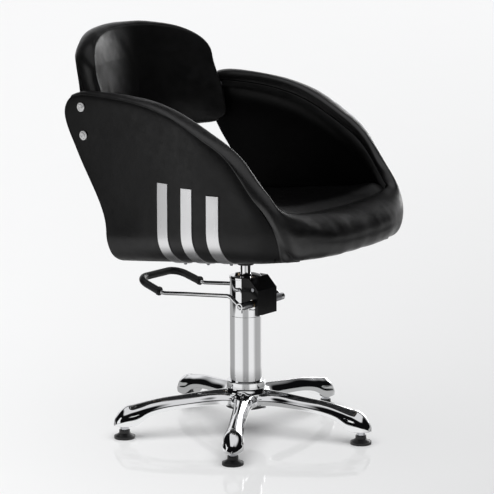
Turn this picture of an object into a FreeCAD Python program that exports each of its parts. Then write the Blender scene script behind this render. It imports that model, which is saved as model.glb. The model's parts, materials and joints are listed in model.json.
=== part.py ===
import FreeCAD, Part
import ast
import math
import os
import re
import Sketcher
from FreeCAD import Vector, Placement, Rotation

# Hydraulic styling chair: star base, column with pump and pedal, upholstered
# tub with a backrest held between its ears. Millimetres, +Z up, origin on the
# floor under the column's axis. The sitter faces -Y; +X is the sitter's left.

doc = FreeCAD.newDocument("StylingChair")

# Suffixes: _r radius, _t thickness, _half half length or width, _w width.
DIMS = {
    # star base
    "foot_circle_r": 290, "base_turn": 68.8, "hub_r": 45, "hub_low_r": 53, "hub_bottom": 70,
    "hub_shoulder": 103, "hub_top": 125, "tube_bore_r": 37.05, "hub_tap_len": 18,
    "dome_r": 25.5, "dome_low": 31, "dome_high": 60, "dome_top": 78,
    "glide_rim_r": 24.5, "glide_rim_top": 6, "glide_neck_r": 12.5, "glide_cone_top": 13,
    "glide_top": 20, "stem_r": 5, "stem_bottom": 10, "stem_top": 46, "stem_bore_bottom": 20,
    "stem_nut_t": 7, "run_gap": 0.05,
    # column
    "tube_r": 37, "tube_wall": 1.5, "seam_z": 281, "head_top": 368, "cap_top": 375, "cap_r": 38,
    "cap_bore_r": 14, "cyl_r": 22, "cyl_bore_r": 18.05, "cyl_bottom": 71, "cyl_top": 356,
    "cyl_floor_t": 4, "flange_r": 47.5, "flange_bottom": 62, "flange_bolt_r": 42.5,
    "bolt_shank_r": 3, "bolt_head_r": 5.5, "bolt_head_len": 4, "flange_bolt_len": 20,
    # rod and piston
    "rod_r": 12, "rod_bottom": 122, "rod_top": 428, "spigot_r": 8, "spigot_bottom": 96,
    "groove_start": 0.5, "groove_w": 1.6, "groove_depth": 1.5,
    "piston_r": 18, "piston_bottom": 100, "piston_top": 120, "seal_r_in": 15.5,
    "seal_bottom": 107, "seal_top": 112, "washer_r": 14, "clip_r": 11,
    "bush_r": 17, "bush_bottom": 326, "wiper_r": 14,
    # pedal and pump
    "shaft_y": -45, "shaft_z": 317, "shaft_r": 6, "shaft_half": 70, "shaft_tap_depth": 18,
    "collar_r": 9, "collar_in": 37.5, "lug_in": 22, "lug_out": 32, "lug_r": 13,
    "lug_web_len": 30, "bearing_r": 8.5, "crank_half": 5, "crank_wall": 4, "crank_arm_t": 5.6,
    "crank_nose_r": 4, "notch_half": 8, "notch_front": -42, "notch_w": 20, "notch_bottom": 306,
    "plunger_y": -29.5, "plunger_r": 5, "plunger_bottom": 290, "plunger_top": 312.9,
    "pedal_x": 75, "pedal_rod_r": 4.8, "grip_r": 9, "pedal_end_y": 272,
    "grip_start_y": 199, "eye_r": 9,
    # half length of cutting tools that run right through in X
    "through_half": 50,
    # pump cover
    "cover_half": 35, "cover_wall": 1.5, "cover_front": -64.2, "cover_bottom": 291,
    "cover_top": 375.8, "cover_chamfer": 26, "shaft_clear": 1.2, "shaft_slot_len": 40,
    "rear_slot_w": 24, "rear_slot_len": 27, "cover_screw_y": -50, "cover_screw_z": 351,
    "cover_screw_r": 2, "cover_screw_head_r": 4, "cover_screw_head_t": 2.2,
    # seat body
    "under_z": 445.5, "seat_tilt": 4.4, "cloth_t": 2, "board_t": 18, "board_half": 197,
    "board_front": -246, "board_rear": 160, "tuck_r": 78, "tuck_x": 200,
    "cover_t": 8, "shell_t": 12, "cushion_top": 549, "cushion_front": -250, "cushion_rear": 165,
    "cushion_half": 226, "rear_panel_t": 20, "rear_panel_len": 96,
    "plate_half": 90, "plate_t": 6, "cone_r": 19, "cone_top_r": 62, "cone_bottom": 400,
    "bracket_collar_len": 6, "bracket_bolt_at": 68, "bracket_bolt_r": 4,
    "bracket_bolt_head_r": 7.5, "bracket_bolt_len": 24,
    # backrest
    "back_half": 215, "back_thick": 66, "ply_t": 12, "ear_bolt1_y": 262, "ear_bolt1_z": 777,
    "ear_bolt2_y": 249, "ear_bolt2_z": 714, "ear_bolt_r": 4, "ear_head_r": 7,
    "ear_washer_r": 10.5,
    # trim strips
    "strip_w": 29, "strip_t": 2, "strip1_y": 5.5, "strip2_y": -61.5, "strip3_y": -128,
    "strip1_top": 630, "strip2_top": 624, "strip3_top": 613,
}

# Leg cross-sections: distance from the axis, half-widths of skirt, shoulder
# and ridge, then heights of underside, crease, shoulder and ridge.
LEG_FIELDS = ("at", "skirt", "shoulder", "ridge", "low", "crease", "high", "top")
LEG = [
    (40, 21, 15.0, 6.0, 74, 84, 98, 104.5),
    (80, 20, 13.5, 5.5, 71.5, 82, 96, 103),
    (115, 19, 12.5, 5.5, 69, 80, 92.5, 99.7),
    (160, 18, 11.5, 5.5, 66, 76, 88, 95),
    (205, 18, 12.0, 6.0, 60, 71, 83, 90),
    (240, 19.5, 14.5, 7.0, 47, 62, 75, 84),
    (262, 22, 17.5, 8.0, 35, 52, 70, 79.5),
    (284, 24, 19.0, 9.0, 31.5, 48, 66, 77),
]
for i, section in enumerate(LEG):
    for field, value in zip(LEG_FIELDS, section):
        DIMS[f"leg{i}_{field}"] = value

sheet = doc.addObject("Spreadsheet::Sheet", "Dims")
for row, (alias, value) in enumerate(DIMS.items(), 1):
    sheet.set(f"A{row}", alias)
    sheet.set(f"B{row}", str(value))
    sheet.setAlias(f"B{row}", alias)
doc.recompute()


# ---------------------------------------------------------------- expressions
# Sizes of document objects are given as text: arithmetic on sheet aliases.
def dim(alias):
    """A driving dimension as a number, read back from the sheet."""
    return float(sheet.get(alias))


def num(expr):
    """Value of a small arithmetic expression of aliases, for first guesses."""
    def walk(item):
        if isinstance(item, ast.Constant):
            return float(item.value)
        if isinstance(item, ast.Name):
            return float(DIMS[item.id])
        if isinstance(item, ast.UnaryOp):
            return -walk(item.operand)
        left, right = walk(item.left), walk(item.right)
        if isinstance(item.op, ast.Add):
            return left + right
        if isinstance(item.op, ast.Sub):
            return left - right
        if isinstance(item.op, ast.Mult):
            return left * right
        return left / right
    return walk(ast.parse(expr).body[0].value)


def sheet_expr(expr):
    return re.sub(r"\b([a-z]\w*)\b", r"Dims.\1", expr)


def bind(obj, **props):
    for prop, expr in props.items():
        obj.setExpression(prop, sheet_expr(expr))


def place(obj, x, y, z, rotation=Rotation()):
    """Placement with its position bound to the sheet."""
    obj.Placement = Placement(Vector(num(x), num(y), num(z)), rotation)
    for axis, expr in (("x", x), ("y", y), ("z", z)):
        if expr != "0":
            obj.setExpression(f"Placement.Base.{axis}", sheet_expr(expr))
    return obj


# ---------------------------------------------------------------- primitives
ALONG_X = Rotation(Vector(0, 1, 0), 90)


def cyl(name, radius, height, x="0", y="0", z="0", rotation=Rotation()):
    obj = doc.addObject("Part::Cylinder", name)
    bind(obj, Radius=radius, Height=height)
    return place(obj, x, y, z, rotation)


def shaft_cyl(name, radius, length, x, y="shaft_y", z="shaft_z"):
    """Cylinder along +X from x, on the pedal shaft's axis unless told otherwise."""
    return cyl(name, radius, length, x, y, z, ALONG_X)


def side_start(side, start, length):
    """Lower x end of a piece that runs outward from |x| = start on one side."""
    return start if side > 0 else f"-({start}+{length})"


def cone(name, r1, r2, height, x="0", y="0", z="0"):
    obj = doc.addObject("Part::Cone", name)
    bind(obj, Radius1=r1, Radius2=r2, Height=height)
    return place(obj, x, y, z)


def box(name, length, width, height, x, y, z):
    obj = doc.addObject("Part::Box", name)
    bind(obj, Length=length, Width=width, Height=height)
    return place(obj, x, y, z)


def hexagon(name, radius, height, x, y, z):
    obj = doc.addObject("Part::Prism", name)
    obj.Polygon = 6
    bind(obj, Circumradius=radius, Height=height)
    return place(obj, x, y, z)


def fuse(name, *shapes):
    obj = doc.addObject("Part::MultiFuse", name)
    obj.Shapes = list(shapes)
    obj.Refine = True
    return obj


def cut(name, base, tool):
    obj = doc.addObject("Part::Cut", name)
    obj.Base, obj.Tool = base, tool
    obj.Refine = True
    return obj


def common(name, *shapes):
    obj = doc.addObject("Part::MultiCommon", name)
    obj.Shapes = list(shapes)
    return obj


def group(name, *shapes):
    obj = doc.addObject("Part::Compound", name)
    obj.Links = list(shapes)
    return obj


NODES = {}


def node(obj, label):
    """Registers an object as a finished piece, written to its own file."""
    obj.Label = label
    NODES[label] = obj
    return obj


def feature(name, shape):
    """A shape made by surface construction, kept as its own feature."""
    obj = doc.addObject("Part::Feature", name)
    obj.Shape = shape
    obj.Placement = Placement()
    return obj


def piece(label, shape):
    return node(feature(label, shape), label)


# ------------------------------------------------------------ bodies, sketches
def body(name):
    return doc.addObject("PartDesign::Body", name)


def origin_item(owner, role):
    return [item for item in owner.Origin.OriginFeatures if item.Role == role][0]


def sketch(owner, name, role, points, offset=None):
    """Closed polyline whose vertices are bound to the sheet."""
    result = owner.newObject("Sketcher::SketchObject", name)
    result.AttachmentSupport = [(origin_item(owner, role), "")]
    result.MapMode = "FlatFace"
    if offset is not None:
        result.AttachmentOffset = Placement(Vector(0, 0, num(offset)), Rotation())
        result.setExpression("AttachmentOffset.Base.z", sheet_expr(offset))

    def pin(line, expr, kind):
        """Ties a line's start to the sketch origin in one direction."""
        value = num(expr)
        if abs(value) < 1e-9:
            axis = -2 if kind == "DistanceX" else -1
            result.addConstraint(Sketcher.Constraint("PointOnObject", line, 1, axis))
        elif value > 0:
            i = result.addConstraint(Sketcher.Constraint(kind, -1, 1, line, 1, value))
            result.setExpression(f"Constraints[{i}]", sheet_expr(expr))
        else:
            i = result.addConstraint(Sketcher.Constraint(kind, line, 1, -1, 1, -value))
            result.setExpression(f"Constraints[{i}]", f"-({sheet_expr(expr)})")

    count = len(points)
    corners = [Vector(num(across), num(up), 0) for across, up in points]
    for k in range(count):
        result.addGeometry(Part.LineSegment(corners[k], corners[(k + 1) % count]), False)
    for k in range(count):
        result.addConstraint(Sketcher.Constraint("Coincident", k, 2, (k + 1) % count, 1))
    for k, (across, up) in enumerate(points):
        pin(k, across, "DistanceX")
        pin(k, up, "DistanceY")
    return result


def revolve(owner, name, profile):
    """Turned feature: (radius, height) profile about the body's Z axis."""
    outline = sketch(owner, name + "_profile", "XZ_Plane", profile)
    result = owner.newObject("PartDesign::Revolution", name)
    result.Profile = outline
    result.ReferenceAxis = (outline, ["V_Axis"])
    result.Angle = 360


def turned(name, profile):
    owner = body(name)
    revolve(owner, name + "_turned", profile)
    return node(owner, name)


def pad(owner, name, role, points, length, offset=None, symmetric=False):
    outline = sketch(owner, name + "_outline", role, points, offset)
    result = owner.newObject("PartDesign::Pad", name)
    result.Profile = outline
    bind(result, Length=length)
    if symmetric:
        result.Midplane = True


# ------------------------------------------------------------------- patterns
def ring_point(radius, degrees):
    """x and y expressions of a point on a circle about the column's axis."""
    angle = math.radians(degrees)
    return f"{radius}*({math.cos(angle):.6f})", f"{radius}*({math.sin(angle):.6f})"


FEET = [ring_point("foot_circle_r", 72 * k) for k in range(5)]
FLANGE_BOLTS = [ring_point("flange_bolt_r", 45 + 90 * k) for k in range(4)]


def turn_with_base(obj):
    """Turns a piece drawn with one foot on +X to the base's own heading."""
    obj.Placement = Placement(Vector(), Rotation(Vector(0, 0, 1), dim("base_turn")))
    obj.setExpression("Placement.Rotation.Angle", sheet_expr("base_turn"))
    return obj


# ================================================================= star base
star = body("base_star_body")
revolve(star, "hub", [
    ("0", "hub_bottom"), ("hub_low_r", "hub_bottom"), ("hub_low_r", "hub_shoulder-8"),
    ("hub_r", "hub_shoulder"), ("hub_r", "hub_top-2"), ("hub_r-2", "hub_top"), ("0", "hub_top")])
doc.recompute()


def leg_section(index):
    """One leg section. On the YZ plane local x is +Y, local y is +Z, the normal +X."""
    at, skirt, shoulder, ridge, low, crease, high, top = [
        f"leg{index}_{field}" for field in LEG_FIELDS]
    return sketch(star, f"leg_section_{index}", "YZ_Plane", [
        (f"-{skirt}", low), (skirt, low), (skirt, crease), (shoulder, high),
        (ridge, top), (f"-{ridge}", top), (f"-{shoulder}", high), (f"-{skirt}", crease)],
        offset=at)


leg_sections = [leg_section(i) for i in range(len(LEG))]
leg = star.newObject("PartDesign::AdditiveLoft", "leg")
leg.Profile = leg_sections[0]
leg.Sections = leg_sections[1:]
leg.Ruled = False
doc.recompute()
leg_pattern = star.newObject("PartDesign::PolarPattern", "five_legs")
leg_pattern.Originals = [leg]
leg_pattern.Axis = (origin_item(star, "Z_Axis"), [""])
leg_pattern.Angle = 360
leg_pattern.Occurrences = 5
star.Tip = leg_pattern
doc.recompute()

# A domed foot at the end of each leg, then bores for column, stems and bolts.
domes = []
for k, (x, y) in enumerate(FEET):
    domes.append(cyl(f"dome_low_{k}", "dome_r", "dome_high-dome_low", x, y, "dome_low"))
    domes.append(cone(f"dome_high_{k}", "dome_r", "dome_r*0.52", "dome_top-dome_high",
                      x, y, "dome_high"))
star_bores = [cyl("column_bore", "tube_bore_r", "hub_top")]
for k, (x, y) in enumerate(FEET):
    star_bores.append(cyl(f"stem_bore_{k}", "stem_r+run_gap", "stem_top+1-stem_bore_bottom",
                          x, y, "stem_bore_bottom"))
for k, (x, y) in enumerate(FLANGE_BOLTS):
    star_bores.append(cyl(f"hub_tap_{k}", "bolt_shank_r+run_gap", "hub_tap_len",
                          x, y, "hub_bottom-1"))
base_star = cut("base_star_cut", fuse("star_solid", star, *domes),
                fuse("star_bores", *star_bores))
node(turn_with_base(base_star), "base_star")


def glide(k, x, y):
    rim = cyl(f"glide_rim_{k}", "glide_rim_r", "glide_rim_top", x, y, "0")
    slope = cone(f"glide_cone_{k}", "glide_rim_r-2", "glide_neck_r",
                 "glide_cone_top-glide_rim_top", x, y, "glide_rim_top")
    neck = cyl(f"glide_neck_{k}", "glide_neck_r", "glide_top-glide_cone_top",
               x, y, "glide_cone_top")
    hole = cyl(f"glide_hole_{k}", "stem_r+run_gap", "glide_top", x, y, "stem_bottom-run_gap")
    return cut(f"glide_{k}", fuse(f"glide_solid_{k}", rim, slope, neck), hole)


def glide_stem(k, x, y):
    shank = cyl(f"stem_shank_{k}", "stem_r", "stem_top-stem_bottom", x, y, "stem_bottom")
    nut = hexagon(f"stem_nut_{k}", "stem_r*1.9", "stem_nut_t", x, y, "glide_top+1")
    return fuse(f"stem_{k}", shank, nut)


for label, build in (("glide_feet", glide), ("glide_stems", glide_stem)):
    pieces = [build(k, x, y) for k, (x, y) in enumerate(FEET)]
    node(turn_with_base(group(label, *pieces)), label)

# ==================================================================== column
turned("column_tube", [
    ("tube_r-tube_wall", "hub_bottom"), ("tube_r", "hub_bottom"), ("tube_r", "seam_z-1"),
    ("tube_r-0.6", "seam_z-0.3"), ("tube_r-tube_wall", "seam_z-0.3")])
turned("pump_cylinder", [
    ("0", "cyl_bottom"), ("cyl_r", "cyl_bottom"), ("cyl_r", "cyl_top"), ("cyl_bore_r", "cyl_top"),
    ("cyl_bore_r", "cyl_bottom+cyl_floor_t"), ("0", "cyl_bottom+cyl_floor_t")])

# Flange bolted up under the hub, with a spigot inside the column tube.
flange_disc = cyl("flange_disc", "flange_r", "hub_bottom-flange_bottom-0.3", z="flange_bottom")
flange_spigot = cyl("flange_spigot", "tube_r-tube_wall-0.5", "cyl_bottom-hub_bottom+0.3",
                    z="hub_bottom-0.3")
flange_holes, flange_bolts = [], []
for k, (x, y) in enumerate(FLANGE_BOLTS):
    flange_holes.append(cyl(f"flange_hole_{k}", "bolt_shank_r+0.3", "20",
                            x, y, "flange_bottom-5"))
    shank = cyl(f"flange_bolt_shank_{k}", "bolt_shank_r", "flange_bolt_len",
                x, y, "flange_bottom-0.5")
    head = hexagon(f"flange_bolt_head_{k}", "bolt_head_r", "bolt_head_len",
                   x, y, "flange_bottom-0.05-bolt_head_len")
    flange_bolts.append(fuse(f"flange_bolt_{k}", shank, head))
foot_flange = cut("foot_flange_cut", fuse("flange_solid", flange_disc, flange_spigot),
                  fuse("flange_holes", *flange_holes))
node(turn_with_base(foot_flange), "foot_flange")
node(turn_with_base(group("flange_bolts", *flange_bolts)), "flange_bolts")

# Upper cylinder block: bored for the pressure tube and the guide bush, with
# two lugs for the pedal shaft and a drilling for the plunger.
head_body = body("pump_head_body")
revolve(head_body, "head_turned", [
    ("cyl_r+run_gap", "seam_z"), ("tube_r", "seam_z"), ("tube_r", "head_top"),
    ("bush_r+run_gap", "head_top"), ("bush_r+run_gap", "cyl_top+0.1"),
    ("cyl_r+run_gap", "cyl_top+0.1")])
doc.recompute()
LUG_LEN = "lug_out-lug_in"
lugs = []
for side in (-1, 1):
    lug_x = side_start(side, "lug_in", LUG_LEN)
    lugs.append(shaft_cyl(f"lug_{side}", "lug_r", LUG_LEN, lug_x))
    lugs.append(box(f"lug_web_{side}", LUG_LEN, "lug_web_len", "lug_r*2",
                    lug_x, "shaft_y", "shaft_z-lug_r"))
head_bores = [
    shaft_cyl("shaft_bore", "bearing_r", "through_half*2", "-through_half"),
    cyl("plunger_bore", "plunger_r+run_gap", "60", "0", "plunger_y", "plunger_bottom-6"),
    box("crank_notch", "notch_half*2", "notch_w", "30", "-notch_half", "notch_front",
        "notch_bottom"),
    cyl("lug_clear", "cyl_r+run_gap", "100", z="270"),
]
node(cut("pump_head_cut", fuse("head_solid", head_body, *lugs),
         fuse("head_bores", *head_bores)), "pump_head")

turned("head_cap", [
    ("cap_bore_r", "head_top"), ("cap_r", "head_top"), ("cap_r", "cap_top-2"),
    ("cap_r-2", "cap_top"), ("cap_bore_r", "cap_top")])
turned("gland_bush", [
    ("rod_r+run_gap", "bush_bottom"), ("cyl_bore_r-0.5", "bush_bottom"),
    ("cyl_bore_r-0.5", "cyl_top+0.1"), ("bush_r", "cyl_top+0.1"), ("bush_r", "head_top-0.1"),
    ("rod_r+run_gap", "head_top-0.1")])
turned("rod_wiper", [
    ("rod_r+run_gap", "head_top"), ("wiper_r-0.1", "head_top"), ("wiper_r-0.1", "cap_top+1.5"),
    ("rod_r+0.8", "cap_top+2.5"), ("rod_r+run_gap", "cap_top+2.5")])

bushes = []
for side in (-1, 1):
    bush_x = side_start(side, "lug_in", LUG_LEN)
    bearing = shaft_cyl(f"bearing_{side}", "bearing_r", LUG_LEN, bush_x)
    bore = shaft_cyl(f"bearing_bore_{side}", "shaft_r+run_gap", LUG_LEN, bush_x)
    bushes.append(cut(f"shaft_bush_{side}", bearing, bore))
node(group("shaft_bushes", *bushes), "shaft_bushes")

# Folded cover: top, bevelled front and two cheeks, open below and behind.
cover_body = body("pump_cover_body")
pad(cover_body, "house", "YZ_Plane", [
    ("0", "cover_bottom"), ("cover_front", "cover_bottom"),
    ("cover_front", "cover_top-cover_chamfer"), ("cover_front+cover_chamfer", "cover_top"),
    ("0", "cover_top")], "cover_half*2", symmetric=True)
doc.recompute()
hollow = body("cover_hollow_body")
pad(hollow, "house_inside", "YZ_Plane", [
    ("20", "cover_bottom-10"), ("cover_front+cover_wall", "cover_bottom-10"),
    ("cover_front+cover_wall", "cover_top-cover_chamfer-cover_wall*0.4"),
    ("cover_front+cover_chamfer+cover_wall*0.4", "cover_top-cover_wall"),
    ("20", "cover_top-cover_wall")], "cover_half*2-cover_wall*2", symmetric=True)
doc.recompute()
cover_cuts = [
    hollow,
    cyl("cover_tube_clear", "cap_r+0.2", "200", z="250"),
    shaft_cyl("cover_shaft_hole", "collar_r+shaft_clear", "through_half*2", "-through_half"),
    box("cover_shaft_slot", "through_half*2", "(collar_r+shaft_clear)*2", "shaft_slot_len",
        "-through_half", "shaft_y-collar_r-shaft_clear", "shaft_z-shaft_slot_len"),
    box("cover_crank_slot", "through_half*2", "rear_slot_w", "rear_slot_len",
        "-through_half", "shaft_y+4", "shaft_z-34"),
]


def cover_screw_cyl(name, side, radius, start, length):
    return shaft_cyl(f"{name}_{side}", radius, length, side_start(side, start, length),
                     "cover_screw_y", "cover_screw_z")


cover_screws = []
for side in (-1, 1):
    cover_cuts.append(cover_screw_cyl("cover_screw_hole", side, "cover_screw_r+0.1",
                                      "cover_half-4", "6.4"))
    head = cover_screw_cyl("cover_screw_head", side, "cover_screw_head_r",
                           "cover_half+0.02", "cover_screw_head_t")
    shank = cover_screw_cyl("cover_screw_shank", side, "cover_screw_r", "cover_half-7", "7.5")
    cover_screws.append(fuse(f"cover_screw_{side}", head, shank))
node(cut("pump_cover_cut", cover_body, fuse("cover_cuts", *cover_cuts)), "pump_cover")
node(group("cover_screws", *cover_screws), "cover_screws")

# Coil spring round the pedal shaft, between the crank and the +X lug.
SPRING_PITCH = 2.2
SPRING_LEN = 11.0
SPRING_WIRE_R = 0.7
SPRING_CLEAR = 1.6  # from the shaft's surface to the wire's centre
SPRING_X = 7.5


def return_spring():
    helix = Part.Wire(Part.makeHelix(SPRING_PITCH, SPRING_LEN, dim("shaft_r") + SPRING_CLEAR))
    start = helix.Vertexes[0].Point
    ring = Part.Wire(Part.makeCircle(SPRING_WIRE_R, start, Vector(0, 1, 0)))
    spring = piece("return_spring", helix.makePipeShell([ring], True, True))
    spring.Placement = Placement(Vector(SPRING_X, dim("shaft_y"), dim("shaft_z")), ALONG_X)


return_spring()

# ================================================================ lift group
turned("piston_head", [
    ("spigot_r+run_gap", "piston_bottom"), ("piston_r", "piston_bottom"),
    ("piston_r", "seal_bottom"), ("seal_r_in", "seal_bottom"), ("seal_r_in", "seal_top"),
    ("piston_r", "seal_top"), ("piston_r", "piston_top"), ("spigot_r+run_gap", "piston_top")])
turned("piston_seal", [
    ("seal_r_in+run_gap", "seal_bottom+run_gap"), ("piston_r", "seal_bottom+run_gap"),
    ("piston_r", "seal_top-run_gap"), ("seal_r_in+run_gap", "seal_top-run_gap")])
turned("thrust_washer", [
    ("spigot_r+run_gap", "piston_top"), ("washer_r", "piston_top"),
    ("washer_r", "rod_bottom-run_gap"), ("spigot_r+run_gap", "rod_bottom-run_gap")])

# ================================================================ pedal group
shaft_bar = shaft_cyl("shaft_bar", "shaft_r", "shaft_half*2", "-shaft_half")
collars = [
    shaft_cyl(f"collar_{name}", "collar_r", "shaft_half-collar_in",
              side_start(side, "collar_in", "shaft_half-collar_in"))
    for name, side in (("left", 1), ("right", -1))]
# Tapped only at the ends: the middle is kept out of the through drilling.
taps = shaft_cyl("shaft_tap", "bolt_shank_r+run_gap", "through_half*4", "-through_half*2")
tap_keep = shaft_cyl("shaft_tap_keep", "bolt_shank_r+1", "(shaft_half-shaft_tap_depth)*2",
                     "-shaft_half+shaft_tap_depth")
node(cut("pedal_shaft_cut", fuse("shaft_solid", shaft_bar, *collars),
         cut("shaft_taps", taps, tap_keep)), "pedal_shaft")

crank_hub = shaft_cyl("crank_hub", "shaft_r+crank_wall", "crank_half*2", "-crank_half")
crank_arm = box("crank_arm", "crank_half*2", "plunger_y-shaft_y", "crank_arm_t",
                "-crank_half", "shaft_y", "shaft_z-crank_arm_t/2")
crank_nose = shaft_cyl("crank_nose", "crank_nose_r", "crank_half*2", "-crank_half", "plunger_y")
crank_bore = shaft_cyl("crank_bore", "shaft_r", "crank_half*2", "-crank_half")
node(cut("pedal_crank_cut", fuse("crank_solid", crank_hub, crank_arm, crank_nose), crank_bore),
     "pedal_crank")


def bent_path(points, radii):
    """Wire of lines joined by tangent arcs at the inner points."""
    points = [Vector(*point) for point in points]
    edges, last = [], points[0]
    for before, corner, after, radius in zip(points, points[1:], points[2:], radii):
        to_before = (before - corner).normalize()
        to_after = (after - corner).normalize()
        angle = to_before.getAngle(to_after)
        setback = radius / math.tan(angle / 2)
        arc_start, arc_end = corner + to_before * setback, corner + to_after * setback
        bisector = (to_before + to_after).normalize()
        arc_mid = corner + bisector * (radius / math.sin(angle / 2) - radius)
        edges += [Part.makeLine(last, arc_start),
                  Part.Arc(arc_start, arc_mid, arc_end).toShape()]
        last = arc_end
    edges.append(Part.makeLine(last, points[-1]))
    return Part.Wire(edges)


def pipe(wire, radius):
    edge = wire.Edges[0]
    start = edge.valueAt(edge.FirstParameter)
    tangent = edge.tangentAt(edge.FirstParameter)
    ring = Part.Wire(Part.makeCircle(radius, start, tangent))
    return wire.makePipeShell([ring], True, True)


# U-shaped pedal bar. Its +X arm as (inset from pedal_x, y and z from the
# shaft's axis), from the eye to the crossbar, and the bend radii along it.
PEDAL_X, SHAFT_Y, SHAFT_Z = dim("pedal_x"), dim("shaft_y"), dim("shaft_z")
ARM = [(0, 4, 2.7), (0, 33, 22), (0, 172, 9), (0, 238, 2), (4, dim("pedal_end_y") - SHAFT_Y, 26)]
ARM_RADII = [22, 40, 60, 34]
EYE_HALF = 4.9

arm = [(PEDAL_X - inset, SHAFT_Y + back, SHAFT_Z + up) for inset, back, up in ARM]
bar_wire = bent_path([(-x, y, z) for x, y, z in arm] + arm[::-1], ARM_RADII + ARM_RADII[::-1])


def pedal_bar():
    bar = pipe(bar_wire, dim("pedal_rod_r"))
    bar = bar.fuse([
        Part.makeCylinder(dim("eye_r"), EYE_HALF * 2,
                          Vector(side * PEDAL_X - EYE_HALF, SHAFT_Y, SHAFT_Z), Vector(1, 0, 0))
        for side in (-1, 1)])
    for side in (-1, 1):
        bar = bar.cut(Part.makeCylinder(
            dim("bolt_shank_r") + 0.1, 40,
            Vector(side * PEDAL_X - 20, SHAFT_Y, SHAFT_Z), Vector(1, 0, 0)))
    bar = bar.removeSplitter()
    return bar.Solids[0] if len(bar.Solids) == 1 else bar


def pedal_grip():
    """Sleeve over the far end of the bar, with a collar at each mouth."""
    start_y = dim("grip_start_y")
    beyond_start = Part.makeBox(400, 400, 400, Vector(-200, start_y, 150))
    grip = pipe(bar_wire, dim("grip_r")).common(beyond_start)
    mouths = [Part.makeCylinder(dim("grip_r") + 1.6, 5,
                                Vector(side * PEDAL_X, start_y, SHAFT_Z + 5.2),
                                Vector(0, 1, 0.12)) for side in (-1, 1)]
    grip = grip.fuse(mouths).common(beyond_start)
    return grip.cut(pipe(bar_wire, dim("pedal_rod_r"))).removeSplitter()


def pedal_bolt(side):
    """Button-head bolt with a socket, through the eye into the shaft's end."""
    outward = Vector(side, 0, 0)
    base = Vector(side * (PEDAL_X + EYE_HALF + 0.04), SHAFT_Y, SHAFT_Z)
    button = Part.makeCone(6.5, 4.2, 3.6, base, outward)
    socket = Part.makeCylinder(2.2, 2, base + outward * 2.0, outward)
    shank = Part.makeCylinder(dim("bolt_shank_r"), 20, base, outward * -1)
    return button.fuse(shank).cut(socket).removeSplitter().Solids[0]


piece("pedal_bar", pedal_bar())
piece("pedal_grip", pedal_grip())
piece("pedal_bolts", Part.makeCompound([pedal_bolt(side) for side in (-1, 1)]))

plunger = turned("pump_plunger", [
    ("0", "plunger_bottom"), ("plunger_r", "plunger_bottom"), ("plunger_r", "plunger_top-1"),
    ("plunger_r-1", "plunger_top"), ("0", "plunger_top")])
place(plunger, "0", "plunger_y", "0")

# ================================================================= seat group
GROOVE_BOTTOM = "spigot_bottom+groove_start"
GROOVE_TOP = GROOVE_BOTTOM + "+groove_w"
GROOVE_R = "spigot_r-groove_depth"
turned("piston_rod", [
    ("0", "spigot_bottom"), ("spigot_r", "spigot_bottom"), ("spigot_r", GROOVE_BOTTOM),
    (GROOVE_R, GROOVE_BOTTOM), (GROOVE_R, GROOVE_TOP), ("spigot_r", GROOVE_TOP),
    ("spigot_r", "rod_bottom"), ("rod_r-1", "rod_bottom"), ("rod_r", "rod_bottom+1"),
    ("rod_r", "rod_top"), ("0", "rod_top")])
turned("rod_circlip", [
    (GROOVE_R + "+run_gap", GROOVE_BOTTOM + "+run_gap"), ("clip_r", GROOVE_BOTTOM + "+run_gap"),
    ("clip_r", GROOVE_TOP + "-run_gap"), (GROOVE_R + "+run_gap", GROOVE_TOP + "-run_gap")])

TILT = Rotation(Vector(1, 0, 0), -dim("seat_tilt"))
BRACKET_BOLTS = [(i, j) for i in (-1, 1) for j in (-1, 1)]


def tilted(obj, z):
    """Places a piece drawn flat on the seat's tilted datum plane, lower at the rear."""
    return place(obj, "0", "0", z, TILT)


def bracket_holes(name, radius, height):
    """Tool for the four bracket bolt holes through a flat piece."""
    return fuse(name + "s", *[
        cyl(f"{name}_{i}{j}", radius, height, f"{i}*bracket_bolt_at", f"{j}*bracket_bolt_at",
            "-10") for i, j in BRACKET_BOLTS])


# Bracket: tilted plate on a cone, bored for the rod.
plate = box("bracket_plate", "plate_half*2", "plate_half*2", "plate_t",
            "-plate_half", "-plate_half", "0")
flat_plate = cut("bracket_plate_cut", plate,
                 bracket_holes("bracket_hole", "bracket_bolt_r+0.9", "30"))
tilted(flat_plate, "under_z-plate_t-0.2")
bracket_cone = cone("bracket_cone", "cone_r", "cone_top_r", "under_z-plate_t-10-cone_bottom",
                    z="cone_bottom+bracket_collar_len")
bracket_collar = cyl("bracket_collar", "cone_r", "bracket_collar_len+0.2", z="cone_bottom")
bracket_bore = cyl("bracket_bore", "rod_r+run_gap", "rod_top+run_gap-cone_bottom+10",
                   z="cone_bottom-10")
node(cut("seat_bracket_cut",
         fuse("bracket_solid", flat_plate, bracket_cone, bracket_collar), bracket_bore),
     "seat_bracket")

bracket_bolts = []
for i, j in BRACKET_BOLTS:
    x, y = f"{i}*bracket_bolt_at", f"{j}*bracket_bolt_at"
    head = hexagon(f"bracket_bolt_head_{i}{j}", "bracket_bolt_head_r", "5",
                   x, y, "-plate_t-5.3")
    shank = cyl(f"bracket_bolt_shank_{i}{j}", "bracket_bolt_r", "bracket_bolt_len",
                x, y, "-plate_t-1")
    bracket_bolts.append(fuse(f"bracket_bolt_{i}{j}", head, shank))
node(tilted(group("bracket_bolts", *bracket_bolts), "under_z"), "bracket_bolts")

cloth = box("cloth_sheet", "board_half*2-4", "board_rear-board_front-8", "cloth_t-0.2",
            "-board_half+2", "board_front+4", "0.1")
cloth_cut = cut("dust_cover_cut", cloth,
                bracket_holes("cloth_hole", "bracket_bolt_r+0.3", "20"))
node(tilted(cloth_cut, "under_z"), "dust_cover")

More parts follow.
